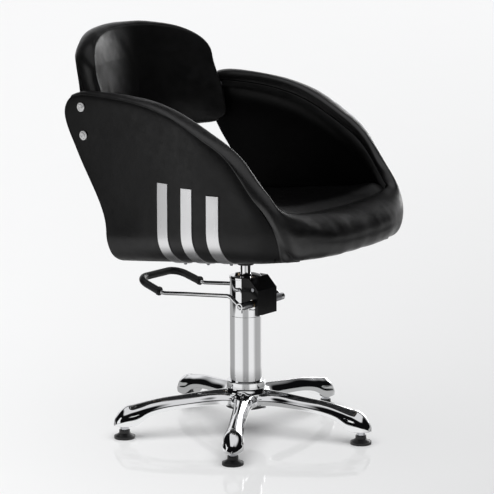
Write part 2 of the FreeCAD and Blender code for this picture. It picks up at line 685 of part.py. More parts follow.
# Seat board with its two front corners cut off.
board = body("seat_board_body")
pad(board, "board", "XY_Plane", [
    ("-board_half+30", "board_front"), ("board_half-30", "board_front"),
    ("board_half", "board_front+40"), ("board_half", "board_rear"),
    ("-board_half", "board_rear"), ("-board_half", "board_front+40")],
    "board_t", offset="cloth_t")
doc.recompute()
board_cut = cut("seat_board_cut", board,
                bracket_holes("board_hole", "bracket_bolt_r+run_gap", "40"))
node(tilted(board_cut, "under_z"), "seat_board")

# ---------------------------------------------------------- tub wall surfaces
TUCK_X, TUCK_R = dim("tuck_x"), dim("tuck_r")
SLOPE = math.tan(math.radians(dim("seat_tilt")))

# Plan of the tub's outer surface: y, half-width.
PLAN = [(-300, 202), (-275, 220), (-250, 236), (-190, 259), (-100, 281),
        (0, 288), (50, 288), (150, 287), (250, 284), (335, 279)]
STATIONS = [y for y, _ in PLAN]
# Plan of the lining's inner face: y, half-width.
LINING = [(-300, 192), (-275, 200), (-250, 206), (-190, 217), (-100, 224),
          (0, 226), (150, 227), (335, 228)]
# Taper of the wall towards the top: z, share of the plan half-width.
TAPER = [(400, 1.0), (620, 1.0), (680, 0.987), (770, 0.955), (815, 0.935), (860, 0.91)]
WALL_HEIGHTS = (560, 600, 640, 680, 720, 760, 800, 840)
TUCK_STEPS = 8


def lerp(table, at):
    for (start, low), (end, high) in zip(table, table[1:]):
        if at <= end:
            share = max(0.0, (at - start) / (end - start))
            return low + (high - low) * share
    return table[-1][1]


def outer_x(y, z):
    """Half-width of the tub's outer surface above the tuck."""
    return lerp(PLAN, y) * lerp(TAPER, z)


def board_low(y):
    """Height of the seat's tilted datum plane."""
    return dim("under_z") - SLOPE * y


def wall_low(y):
    """Underside of the side walls, a little below the datum towards the rear."""
    return board_low(y) - max(0.0, 0.028 * (y + 250))


def curve_through(points):
    curve = Part.BSplineCurve()
    curve.interpolate(points)
    return curve.toShape()


def wall_section(y, inset, level):
    """Closed wire from the middle plane to the wall at station y, set in by inset.
    Level keeps its floor parallel to the board."""
    half, low = lerp(PLAN, y), (board_low(y) if level else wall_low(y))
    tuck_x = min(TUCK_X, half - 52)
    skin = []
    for k in range(TUCK_STEPS + 1):
        angle = math.radians(90 * k / TUCK_STEPS)
        skin.append((tuck_x + (half - tuck_x) * math.sin(angle),
                     low + TUCK_R * (1 - math.cos(angle))))
    # wall points start clear above the tuck
    skin += [(half * lerp(TAPER, z), z) for z in WALL_HEIGHTS if z > low + TUCK_R + 12]
    points = []
    for k, (x, z) in enumerate(skin):
        if k == 0:
            normal = (0.0, 1.0)
        else:
            before, after = skin[k - 1], skin[min(k + 1, len(skin) - 1)]
            run, rise = after[0] - before[0], after[1] - before[1]
            length = math.hypot(run, rise)
            normal = (-rise / length, run / length)
        points.append(Vector(x + normal[0] * inset, y, z + normal[1] * inset))
    top, bottom = Vector(0, y, points[-1].z), Vector(0, y, points[0].z)
    return Part.Wire([curve_through(points), Part.makeLine(points[-1], top),
                      Part.makeLine(top, bottom), Part.makeLine(bottom, points[0])])


def wall_solid(inset, level=False):
    return Part.makeLoft([wall_section(y, inset, level) for y in STATIONS], True, False)


def lining_solid(gap=0.0):
    """Room between the middle plane and the lining's inner face, on the +X side."""
    def section(y):
        x = lerp(LINING, y) - gap
        return Part.Wire(Part.makePolygon([
            Vector(0, y, 380), Vector(x, y, 380), Vector(x, y, 900), Vector(0, y, 900),
            Vector(0, y, 380)]))
    return Part.makeLoft([section(y) for y in STATIONS], True, False)


# Side panel seen from the side, as (y, z): front and arm seam, ear, rear edge.
FRONT_SEAM = [(-283, 474), (-276, 508), (-263, 543), (-246, 573), (-225, 603), (-190, 652),
              (-162, 690), (-97, 735), (-25, 770), (47, 790), (120, 801), (190, 805),
              (245, 806), (283, 803)]
EAR = [(306, 794), (319, 777), (319, 752), (303, 722)]
REAR = [(284, 694), (258, 655), (231, 616), (208, 577), (192, 537), (186, 500), (187, 465),
        (190, 405)]
FRONT_CORNER = (-283, 405)
OUTLINE_HALF = 400


def side_outline(lower, shrink):
    """Panel outline pushed through X, its seam lowered and its rear edge brought in."""
    outline = [(y, z - lower) for y, z in FRONT_SEAM]
    outline += [(y - shrink, z - lower * 0.8) for y, z in EAR]
    outline += [(y - shrink, z) for y, z in REAR]
    points = [Vector(-OUTLINE_HALF, y, z) for y, z in outline]
    corner = Vector(-OUTLINE_HALF, *FRONT_CORNER)
    wire = Part.Wire([curve_through(points), Part.makeLine(points[-1], corner),
                      Part.makeLine(corner, points[0])])
    return Part.Face(wire).extrude(Vector(OUTLINE_HALF * 2, 0, 0))


def largest(shape):
    return max(shape.Solids, key=lambda solid: solid.Volume)


def mirrored(shape):
    return shape.mirror(Vector(), Vector(1, 0, 0))


def side_rod(side, radius, start, length, y, z):
    """Cylinder running outward from |x| = start on one side."""
    return Part.makeCylinder(radius, length, Vector(side * start, y, z), Vector(side, 0, 0))


# --------------------------------------------------- layers of the side panels
# Built on the +X side from outside to inside: cover, shell, inner pad.
wall_outer = wall_solid(0.0)
wall_middle = wall_solid(dim("cover_t"))
wall_inner = wall_solid(dim("cover_t") + dim("shell_t"))
beside_tuck = Part.makeBox(400, 900, 900, Vector(TUCK_X - 1.5, -400, 300))
side_cover = wall_outer.cut(wall_middle).common(side_outline(0.0, 0.0)).common(beside_tuck)
side_shell = wall_middle.cut(wall_inner).common(side_outline(28.0, 6.0))
side_shell = side_shell.common(side_outline(0.0, 6.4)).common(beside_tuck)
inner_pad = wall_inner.cut(lining_solid()).common(side_outline(28.5, 8.0))
inner_pad = inner_pad.common(side_outline(0.0, 8.4)).common(beside_tuck)
# the pad stops at y = -250 in front and z = 492 below
inner_pad = inner_pad.cut(Part.makeBox(900, 200, 900, Vector(-450, -450, 300)))
inner_pad = inner_pad.cut(Part.makeBox(900, 900, 200, Vector(-450, -450, 292)))

# Rolled band along the top of the arm: y, z of the outer seam, z of the roll's top.
BAND = [
    (-250, 567, 607), (-225, 603, 640), (-190, 652, 686), (-150, 701, 722), (-97, 735, 751),
    (-40, 764, 777), (20, 784, 794), (80, 797, 806), (140, 803, 813), (200, 805.5, 815),
    (250, 806, 814), (283, 803, 808), (302, 796, 800),
]


def band_section(y, seam, top):
    outside, inside = outer_x(y, seam), lerp(LINING, y)
    low = seam - 27
    points = [
        Vector(inside, y, low), Vector(inside - 1.0, y, low + 14),
        Vector(inside + 5, y, top - 9), Vector((outside + inside) / 2 - 2, y, top),
        Vector(outside - 7, y, seam + (top - seam) * 0.45),
        Vector(outside - 0.3, y, seam - 3), Vector(outside + 0.5, y, low)]
    return Part.Wire([curve_through(points), Part.makeLine(points[-1], points[0])])


arm_band = Part.makeLoft([band_section(*station) for station in BAND], True, False)
arm_band = arm_band.cut(side_cover)
side_cover, side_shell, inner_pad, arm_band = (
    largest(shape) for shape in (side_cover, side_shell, inner_pad, arm_band))

EAR_BOLTS = [(dim(f"ear_bolt{k}_y"), dim(f"ear_bolt{k}_z")) for k in (1, 2)]
ear_holes = [side_rod(1, dim("ear_bolt_r") + 0.3, 180, 140, y, z) for y, z in EAR_BOLTS]
# room for the spacer bushes where they meet the inside of the ear
bush_room = [side_rod(1, 10.6, 199.2, 32, y, z) for y, z in EAR_BOLTS]

# Trim strips as (y of the middle, z of the top); each has a screw in its
# wrapped lower end at this x.
STRIPS = [(dim(f"strip{k}_y"), dim(f"strip{k}_top")) for k in (1, 2, 3)]
STRIP_SCREW_X = 210.0


def screw_seat(y):
    """Screw's point on the outer surface, and the surface's slope angle there."""
    angle = math.asin((STRIP_SCREW_X - TUCK_X) / (lerp(PLAN, y) - TUCK_X))
    z = wall_low(y) + TUCK_R * (1 - math.cos(angle))
    return Vector(STRIP_SCREW_X, y, z), angle


screw_bores = [
    Part.makeCylinder(1.95, 11.5, screw_seat(y)[0] + Vector(0, 0, -4.5), Vector(0, 0, 1))
    for y, _ in STRIPS]
side_cover = largest(side_cover.cut(ear_holes + screw_bores))
arm_band = largest(arm_band.cut(ear_holes + bush_room))

# Front roll, from the middle to the +X corner:
# x, y of the nose, z of the top at the back, z of the nose, z of the underside.
LIP = [
    (0, -333, 560, 512, 462), (70, -331, 562, 514, 462), (130, -325, 566, 518, 464),
    (175, -312, 572, 524, 468), (205, -293, 582, 530, 476), (222, -274, 592, 540, 488),
    (230, -262, 596, 560, 505),
]
LIP_BACK_Y = -251.0


def lip_section(x, nose_y, top, nose, under):
    depth = LIP_BACK_Y - nose_y
    points = [
        Vector(x, LIP_BACK_Y, top), Vector(x, LIP_BACK_Y - depth * 0.35, top - 1),
        Vector(x, LIP_BACK_Y - depth * 0.78, top - (top - nose) * 0.38),
        Vector(x, nose_y, nose),
        Vector(x, LIP_BACK_Y - depth * 0.72, nose - (nose - under) * 0.72),
        Vector(x, LIP_BACK_Y - depth * 0.3, under + 1), Vector(x, LIP_BACK_Y, under)]
    return Part.Wire([curve_through(points), Part.makeLine(points[-1], points[0])])


lip_half = Part.makeLoft([lip_section(*station) for station in LIP], True, False)
front_lip = lip_half.fuse(mirrored(lip_half)).removeSplitter()
front_lip = largest(front_lip.cut([side_cover, mirrored(side_cover)]))
piece("front_lip", front_lip)

side_shell = largest(side_shell.cut(ear_holes).cut(arm_band).cut(front_lip))
inner_pad = largest(inner_pad.cut(ear_holes).cut(arm_band).cut(front_lip))
for label, shape in (("side_cover", side_cover), ("side_shell", side_shell),
                     ("inner_pad", inner_pad), ("arm_band", arm_band)):
    piece(label + "_left", shape)
    piece(label + "_right", mirrored(shape))


# ------------------------------------------------------ cushion and rear panel
def both_halves(name, half):
    return feature(name, half.fuse(mirrored(half)).removeSplitter())


tub_inside = both_halves("tub_inside",
                         wall_solid(dim("cover_t") + dim("shell_t") + 0.6, True))
lining_inside = both_halves("lining_inside", lining_solid(1.0))

# Seat cushion between the inner linings, on the board.
cushion_block = box("cushion_block", "cushion_half*2", "cushion_rear-cushion_front",
                    "cushion_top-under_z-cloth_t-board_t", "-cushion_half", "cushion_front", "0")
tilted(cushion_block, "under_z+cloth_t+board_t")
node(common("seat_cushion_block", cushion_block, tub_inside, lining_inside), "seat_cushion")

# Rear panel between the side panels, behind the cushion.
rear_block = box("rear_block", "cushion_half*2", "rear_panel_t", "rear_panel_len",
                 "-cushion_half", "cushion_rear+1", "0.2")
tilted(rear_block, "under_z")
node(common("rear_panel_block", rear_block, tub_inside, lining_inside), "rear_panel")

# ------------------------------------------------------------------- backrest
BACK_HALF = dim("back_half")
# Side edges of the front face: two straight leans that meet at the bend.
LEAN_LOW_Y, LEAN_LOW_Z = 232, 712
LEAN_BEND_Y, LEAN_BEND_Z = 270, 862
LEAN_TOP_SLOPE = 0.12
BACK_SAG = 78.0  # how far the middle stands behind the side edges
ARCH_Z, ARCH_RISE = 850, 88.5
CORNER_Z, CORNER_RISE, CORNER_W = 735, 50.0, 30
BACK_HEIGHTS = (690, 705, 735, 790, 850, 880, 905, 922, 932, 937)
PLY_HEIGHTS = (702, 760, 820, 870)
STRAP_LOW, STRAP_HIGH = 700, 796


def back_front(z):
    """y of the front face's side edges at height z: the backrest is reclined."""
    if z < LEAN_BEND_Z:
        slope = (LEAN_BEND_Y - LEAN_LOW_Y) / (LEAN_BEND_Z - LEAN_LOW_Z)
        return LEAN_LOW_Y + (z - LEAN_LOW_Z) * slope
    return LEAN_BEND_Y + (z - LEAN_BEND_Z) * LEAN_TOP_SLOPE


def back_half_width(z):
    """Half width at height z: arched top, rounded lower corners."""
    if z > ARCH_Z:
        return BACK_HALF * math.sqrt(max(0.0, 1 - ((z - ARCH_Z) / ARCH_RISE) ** 2))
    if z < CORNER_Z:
        rise = math.sqrt(max(0.0, 1 - ((CORNER_Z - z) / CORNER_RISE) ** 2))
        return BACK_HALF - CORNER_W * (1 - rise)
    return BACK_HALF


def sag(x):
    return BACK_SAG * (1 - (x / BACK_HALF) ** 2)


def slab_wire(front, back):
    """Closed plan outline: two curves joined by straight ends."""
    return Part.Wire([curve_through(front), Part.makeLine(front[-1], back[-1]),
                      curve_through(back[::-1]), Part.makeLine(back[0], front[0])])


def back_section(z):
    """Plan outline of the backrest at height z: curved slab, its ends forward."""
    thick = dim("back_thick") + (8 if z < 800 else 0) - max(0.0, (z - 880)) * 0.3
    half = back_half_width(z)
    front, back = [], []
    for k in range(-6, 7):
        x = half * k / 6.0
        y = back_front(z) + sag(x)
        edge = 1 - abs(k / 6.0) ** 6 * 0.12
        front.append(Vector(x, y, z))
        back.append(Vector(x * 0.995, y + thick * edge, z))
    return slab_wire(front, back)


def ply_section(z):
    """Plan outline of the curved board inside the backrest at height z."""
    half = BACK_HALF - 13
    front, back = [], []
    for k in range(-4, 5):
        x = half * k / 4.0
        y = back_front(z) + 34 + sag(x)
        front.append(Vector(x, y, z))
        back.append(Vector(x, y + dim("ply_t"), z))
    return slab_wire(front, back)


def strap(side):
    """Steel strap let into one end of the backrest, drilled for the ear bolts."""
    x = BACK_HALF - 11.5 if side > 0 else -BACK_HALF + 3.5
    low_y, high_y = back_front(STRAP_LOW), back_front(STRAP_HIGH)
    corners = [Vector(x, low_y + 10, STRAP_LOW), Vector(x, low_y + 56, STRAP_LOW),
               Vector(x, high_y + 56, STRAP_HIGH), Vector(x, high_y + 10, STRAP_HIGH)]
    face = Part.Face(Part.makePolygon(corners + corners[:1]))
    return face.extrude(Vector(8, 0, 0))


back_solid = Part.makeLoft([back_section(z) for z in BACK_HEIGHTS], True, False)
ply = Part.makeLoft([ply_section(z) for z in PLY_HEIGHTS], True, False)
ply = largest(ply.common(back_solid))
straps = [strap(side) for side in (-1, 1)]
bolt_bores = [side_rod(side, dim("ear_bolt_r") + 0.05, BACK_HALF - 12, 60, y, z)
              for side in (-1, 1) for y, z in EAR_BOLTS]
piece("backrest_board", ply)
piece("backrest_straps", Part.makeCompound([largest(solid.cut(bolt_bores)) for solid in straps]))
piece("backrest_cushion", largest(back_solid.cut(ply).cut(straps).cut(bolt_bores)))

# Ear bolts and washers, and spacer bushes between ear and backrest.
EAR_WASHER_T = 2
EAR_HEAD_LEN = 4.6
EAR_INSIDE_X = 227.2


def washer_x(y, z):
    """|x| of the washer's inner face, clear of the ear's outer surface."""
    return outer_x(y, z) + 2.0


def ear_bolt(side, y, z):
    outward = Vector(side, 0, 0)
    base_x = washer_x(y, z) + EAR_WASHER_T + 0.02
    base = Vector(side * base_x, y, z)
    head = Part.makeCylinder(dim("ear_head_r"), EAR_HEAD_LEN, base, outward)
    end_x = (base + outward * EAR_HEAD_LEN).x
    rim = [edge for edge in head.Edges
           if isinstance(edge.Curve, Part.Circle) and abs(edge.CenterOfMass.x - end_x) < 1e-6]
    head = head.makeFillet(1.2, rim)
    socket = Part.makeCylinder(2.9, 3, base + outward * 2.4, outward)
    shank = Part.makeCylinder(dim("ear_bolt_r"), base_x - (BACK_HALF - 11), base, outward * -1)
    return head.fuse(shank).cut(socket).removeSplitter().Solids[0]


def ear_washer(side, y, z):
    start = washer_x(y, z)
    disc = side_rod(side, dim("ear_washer_r"), start, EAR_WASHER_T, y, z)
    return disc.cut(side_rod(side, dim("ear_bolt_r") + 0.2, start - 1, 4, y, z))


def ear_spacer(side, y, z):
    length = EAR_INSIDE_X - 0.6 - (BACK_HALF + 1.0)
    sleeve = side_rod(side, 9, BACK_HALF + 0.6, length, y, z)
    return sleeve.cut(side_rod(side, dim("ear_bolt_r") + 0.2, BACK_HALF - 5, 40, y, z))


for label, build in (("ear_bolts", ear_bolt), ("ear_washers", ear_washer),
                     ("ear_spacers", ear_spacer)):
    piece(label, Part.makeCompound(
        [build(side, y, z) for side in (-1, 1) for y, z in EAR_BOLTS]))

# ---------------------------------------------------------------- trim strips
# Strips that follow the outer surface and wrap under the tub.
STRIP_GAP = 0.1
strip_skin = wall_solid(-dim("strip_t") - STRIP_GAP).cut(wall_solid(-STRIP_GAP))


def trim_strip(y, top):
    width = dim("strip_w")
    window = Part.makeBox(300, width, 400, Vector(TUCK_X + 3, y - width / 2, top - 400))
    return largest(largest(strip_skin.common(window)).cut(screw_bores))


def strip_screw(y):
    """Vertical screw from below, its head clear of the sloping strip."""
    at, angle = screw_seat(y)
    seat_z = at.z - 4.2 * math.tan(angle) - dim("strip_t") / math.cos(angle) - 0.45
    button = Part.makeCone(2.6, 4.2, 2.4, Vector(at.x, at.y, seat_z - 2.4), Vector(0, 0, 1))
    shank = Part.makeCylinder(1.8, at.z + 6 - seat_z + 0.5, Vector(at.x, at.y, seat_z - 0.5),
                              Vector(0, 0, 1))
    return button.fuse(shank).removeSplitter().Solids[0]


strip_screws = [strip_screw(y) for y, _ in STRIPS]
piece("strip_screws", Part.makeCompound(
    strip_screws + [mirrored(screw) for screw in strip_screws]))
strips = Part.makeCompound([trim_strip(y, top) for y, top in STRIPS])
piece("trim_strips_left", strips)
piece("trim_strips_right", mirrored(strips))

doc.recompute()

# --------------------------------------------------------- validity and export
problems = []
for obj in doc.Objects:
    if "Invalid" in obj.State or "Error" in obj.State:
        problems.append(f"{obj.Name} {obj.State}")
for label, obj in NODES.items():
    if obj.Shape.isNull() or not obj.Shape.isValid() or not obj.Shape.Solids:
        problems.append(f"{label}: bad shape")
if problems:
    raise RuntimeError("; ".join(problems))

os.makedirs("parts", exist_ok=True)
for label, obj in NODES.items():
    obj.Shape.exportStep(os.path.join("parts", label + ".step"))
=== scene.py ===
"""A lounge seat: a leather tub with padded arms, seat cushion and backrest on a five-legged
chromed star base, shown on a pale studio floor.

The seat faces -Y, +Z is up, and the sitter's left is +X. The column stands on the Z axis and
the floor is z = 0. Shapes are in millimetres and become metres when a mesh is made; the
camera, floor, lamps and shader distances are in metres.
"""
import json
import math

import bpy
import numpy as np
from mathutils import Matrix, Vector


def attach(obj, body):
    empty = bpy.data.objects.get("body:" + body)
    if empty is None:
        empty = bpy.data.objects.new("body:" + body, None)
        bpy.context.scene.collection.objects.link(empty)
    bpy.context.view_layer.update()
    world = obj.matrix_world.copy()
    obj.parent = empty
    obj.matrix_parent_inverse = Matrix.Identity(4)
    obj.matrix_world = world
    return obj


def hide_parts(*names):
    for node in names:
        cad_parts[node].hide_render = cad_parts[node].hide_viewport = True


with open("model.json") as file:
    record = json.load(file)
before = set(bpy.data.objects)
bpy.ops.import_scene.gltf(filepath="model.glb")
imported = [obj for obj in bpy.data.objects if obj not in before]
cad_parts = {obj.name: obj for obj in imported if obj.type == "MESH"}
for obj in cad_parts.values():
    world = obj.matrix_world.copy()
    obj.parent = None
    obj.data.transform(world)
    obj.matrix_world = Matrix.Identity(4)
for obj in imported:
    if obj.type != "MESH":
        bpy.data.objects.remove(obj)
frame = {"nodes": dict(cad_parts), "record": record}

scene = bpy.context.scene
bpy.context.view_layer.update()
NODES = frame["nodes"]
MM = 0.001
SIDES = ((1, "left"), (-1, "right"))


# ==================================================================== curves
def spline(knots, points):
    """Natural cubic spline through the rows of points at the given knots."""
    knots, points = np.asarray(knots, float), np.asarray(points, float)
    flat = points.reshape(len(knots), -1)
    count, gap = len(knots), np.diff(knots)
    matrix = np.zeros((count, count))
    target = np.zeros((count, flat.shape[1]))
    matrix[0, 0] = matrix[-1, -1] = 1
    for i in range(1, count - 1):
        matrix[i, i - 1:i + 2] = gap[i - 1], 2 * (gap[i - 1] + gap[i]), gap[i]
        slope_after = (flat[i + 1] - flat[i]) / gap[i]
        slope_before = (flat[i] - flat[i - 1]) / gap[i - 1]
        target[i] = 6 * (slope_after - slope_before)
    bend = np.linalg.solve(matrix, target)

    def evaluate(x):
        x = np.clip(np.asarray(x, float), knots[0], knots[-1])
        shape = x.shape
        x = x.ravel()
        i = np.clip(np.searchsorted(knots, x, side="right") - 1, 0, count - 2)
        width = gap[i][:, None]
        ahead, behind = (knots[i + 1] - x)[:, None], (x - knots[i])[:, None]
        out = (bend[i] * ahead ** 3 + bend[i + 1] * behind ** 3) / (6 * width) \
            + (flat[i] / width - bend[i] * width / 6) * ahead \
            + (flat[i + 1] / width - bend[i + 1] * width / 6) * behind
        return out.reshape(shape + points.shape[1:])
    return evaluate


def curve(rows):
    """Smooth function from (position, value) rows."""
    positions, values = zip(*rows)
    return spline(positions, values)


def run_length(points):
    """Distance travelled along a polyline at each of its points."""
    points = np.asarray(points, float)
    steps = np.linalg.norm(np.diff(points, axis=0), axis=1)
    return np.concatenate([[0], np.cumsum(steps)])


def from_first(grid):
    """Distance of each grid point from the first point of its row."""
    return np.array([run_length(row) for row in grid])


def from_last(grid):
    """Distance of each grid point from the last point of its row."""
    return np.array([run_length(row[::-1])[::-1] for row in grid])


def at_distances(points, distances):
    run = run_length(points)
    return np.stack([np.interp(distances, run, column) for column in points.T], 1)


def even(points, count):
    return at_distances(points, np.linspace(0, run_length(points)[-1], count))


def path(points, count):
    """Evenly spaced points along the smooth curve through the given ones."""
    run = run_length(points)
    dense = spline(run, points)(np.linspace(0, run[-1], 40 * len(points)))
    return even(dense, count)


def smooth_step(value, start, end):
    t = np.clip((np.asarray(value, float) - start) / (end - start), 0, 1)
    return t * t * (3 - 2 * t)


def unit(v):
    return v / (np.linalg.norm(v, axis=-1, keepdims=True) + 1e-12)


def waves(points, seed, scale):
    """Smooth repeatable noise of about -1 to 1 with features near scale (mm)."""
    wave_count = 14
    rng = np.random.RandomState(seed)
    out = np.zeros(points.shape[:-1])
    for _ in range(wave_count):
        direction = rng.normal(size=3)
        wavelength = scale * rng.uniform(0.7, 1.6)
        direction = direction / np.linalg.norm(direction) * 2 * math.pi / wavelength
        out += np.sin(points @ direction + rng.uniform(0, 6.28))
    return out / math.sqrt(wave_count / 2) / 1.6


# ===================================================================== grids
def coons(low, high, first, last):
    """Patch between four polylines: low and high run along u, first and last along v."""
    u = np.linspace(0, 1, len(low))[:, None, None]
    v = np.linspace(0, 1, len(first))[None, :, None]
    return ((1 - v) * low[:, None] + v * high[:, None]
            + (1 - u) * first[None] + u * last[None]
            - (1 - u) * (1 - v) * low[0] - u * v * high[-1]
            - u * (1 - v) * low[-1] - (1 - u) * v * high[0])


def respace(grid, axis, first, count, last):
    """Lays a dense grid again along one axis: at set distances from its first edge,
    evenly in between, and at set distances from its last edge."""
    out = []
    for line in np.moveaxis(grid, axis, 1):
        length = run_length(line)[-1]
        fit = min(1.0, 0.8 * length / (first[-1] + last[-1] + 1e-9))
        middle = np.linspace(first[-1] * fit, length - last[-1] * fit, count)[1:-1]
        distances = [np.array(first) * fit, middle, length - np.array(last)[::-1] * fit]
        out.append(at_distances(line, np.concatenate(distances)))
    return np.moveaxis(np.array(out), 1, axis)


def grid_normals(grid):
    return unit(np.cross(np.gradient(grid, axis=0), np.gradient(grid, axis=1)))


def facing_normals(grid, i, j, axis, sign):
    """Grid normals, turned so that the one at (i, j) has the given sign on an axis."""
    normals = grid_normals(grid)
    return -normals if normals[i, j, axis] * sign < 0 else normals


def cell_normal(grid, i, j):
    return np.cross(grid[i + 1, j] - grid[i, j], grid[i, j + 1] - grid[i, j])


def roll_edge(grid, normals, radius, depth, steps=4, axis=1, end=True):
    """Rolls one edge of a grid inwards: a quarter turn, then straight in to the depth."""
    if axis == 0:
        turned = roll_edge(grid.swapaxes(0, 1), normals.swapaxes(0, 1), radius, depth,
                           steps, end=end)
        return turned.swapaxes(0, 1)
    edge, before = (grid[:, -1], grid[:, -2]) if end else (grid[:, 0], grid[:, 1])
    normal = normals[:, -1 if end else 0]
    onward = unit(edge - before)
    onward = unit(onward - np.sum(onward * normal, 1, keepdims=True) * normal)
    rows = []
    for k in range(1, steps + 1):
        turn = 0.5 * math.pi * k / steps
        rows.append(edge + onward * radius * math.sin(turn)
                    - normal * radius * (1 - math.cos(turn)))
    corner = rows[-1]
    straight = np.maximum(np.reshape(depth, (-1, 1)) - radius, 0.2)
    for share in (0.35, 0.7, 1.0):
        rows.append(corner - normal * straight * share)
    rows = np.stack(rows, 1)
    return np.concatenate([grid, rows] if end else [rows[:, ::-1], grid], 1)


def mirror_x(points):
    return points * np.array([-1.0, 1.0, 1.0])


# ==================================================================== meshes
def quads(nu, nv, wrap_u=False, wrap_v=False, base=0, flip=False):
    faces = []
    for i in range(nu if wrap_u else nu - 1):
        for j in range(nv if wrap_v else nv - 1):
            row, next_row = base + i * nv, base + (i + 1) % nu * nv
            next_j = (j + 1) % nv
            face = (row + j, next_row + j, next_row + next_j, row + next_j)
            faces.append(face[::-1] if flip else face)
    return faces


def closed_tube(rings, around, first, last, base=0, flip_caps=False):
    """Faces of a tube of rings, closed by fans to the centre vertices first and last."""
    faces = quads(rings, around, wrap_v=True, base=base)
    end = base + (rings - 1) * around
    for j in range(around):
        k = (j + 1) % around
        for cap in ((first, base + j, base + k), (last, end + k, end + j)):
            faces.append(cap[::-1] if flip_caps else cap)
    return faces


def turned_faces(faces, verts, probe, axis, sign):
    """The faces, all reversed if the probe face looks the wrong way along an axis."""
    p0, p1, p2 = (np.array(verts[i]) for i in faces[probe][:3])
    if np.cross(p1 - p0, p2 - p0)[axis] * sign < 0:
        return [face[::-1] for face in faces]
    return faces


def make(name, verts, faces, material, nodes=(), body="seat"):
    mesh = bpy.data.meshes.new(name)
    mesh.from_pydata([tuple(p) for p in np.asarray(verts, float) * MM], [], faces)
    mesh.validate()
    mesh.update()
    made = bpy.data.objects.new(name, mesh)
    scene.collection.objects.link(made)
    mesh.materials.append(material)
    mesh.polygons.foreach_set("use_smooth", [True] * len(mesh.polygons))
    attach(made, body)
    if nodes:
        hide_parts(*nodes)
    return made


def shell(name, grid, material, nodes, flip):
    """A leather sheet: the grid is the show face, its thickness lies behind it."""
    made = make(name, grid.reshape(-1, 3), quads(*grid.shape[:2], flip=flip), material, nodes)
    sheet = made.modifiers.new("sheet", "SOLIDIFY")
    sheet.thickness = 1.6 * MM
    sheet.offset = -1
    return made


def shell_pair(name, grid, material, node, probe, outwards):
    """The left sheet and its mirror image; outwards is 1 to face away from the seat,
    -1 to face its middle."""
    pair = []
    for sign, side in SIDES:
        sided = grid if sign > 0 else mirror_x(grid)
        flip = cell_normal(sided, *probe)[0] * sign * outwards < 0
        pair.append(shell(f"{name}_{side}", sided, material, [f"{node}_{side}"], flip))
    return pair


def mark_lit(made, values):
    """Stores where the inner leather shows a painted highlight, as a stronger shine at each point.
    """
    attribute = made.data.attributes.new("lit", "FLOAT", "POINT")
    attribute.data.foreach_set("value", np.asarray(values, np.float32))


def inflate(made, hold, pressure, cap_mm, relax, frames=20):
    """Lets a cover swell by cloth simulation under a light pressure with its seams held,
    then keeps the smoothed shape, no point having moved further than the cap."""
    rest = np.array([v.co for v in made.data.vertices], float)
    group = made.vertex_groups.new(name="hold")
    for i, weight in enumerate(hold):
        if weight > 0:
            group.add([i], float(weight), "REPLACE")
    puff = made.modifiers.new("puff", "CLOTH")
    cloth = puff.settings
    cloth.use_pressure = True
    cloth.uniform_pressure_force = pressure
    cloth.effector_weights.gravity = 0
    cloth.vertex_group_mass = "hold"
    cloth.tension_stiffness = cloth.compression_stiffness = 25
    cloth.shear_stiffness = 12
    cloth.bending_stiffness = 6.0
    cloth.mass = 0.35
    cloth.quality = 5
    puff.point_cache.frame_start, puff.point_cache.frame_end = 1, frames
    for number in range(1, frames + 1):
        scene.frame_set(number)
    evaluated = made.evaluated_get(bpy.context.evaluated_depsgraph_get())
    swollen = np.array([v.co for v in evaluated.to_mesh().vertices], float)
    evaluated.to_mesh_clear()
    made.modifiers.remove(puff)
    scene.frame_set(1)

    # each point's move is averaged with its neighbours', held points staying put
    move = swollen - rest
    free = 1 - np.clip(np.asarray(hold, float), 0, 1)[:, None]
    edges = np.empty(len(made.data.edges) * 2, dtype=np.int32)
    made.data.edges.foreach_get("vertices", edges)
    edges = edges.reshape(-1, 2)
    neighbours = np.maximum(np.bincount(edges.ravel(), minlength=len(rest)), 1)[:, None]
    for _ in range(relax):
        total = np.zeros_like(move)
        np.add.at(total, edges[:, 0], move[edges[:, 1]])
        np.add.at(total, edges[:, 1], move[edges[:, 0]])
        move = (0.4 * move + 0.6 * total / neighbours) * np.where(free > 0, 1.0, 0.0)
    length = np.linalg.norm(move, axis=1, keepdims=True)
    cap = cap_mm * MM
    move = move * (cap * np.tanh(length / cap) / np.maximum(length, 1e-9))
    made.data.vertices.foreach_set("co", (rest + move).astype(np.float32).ravel())
    made.data.update()


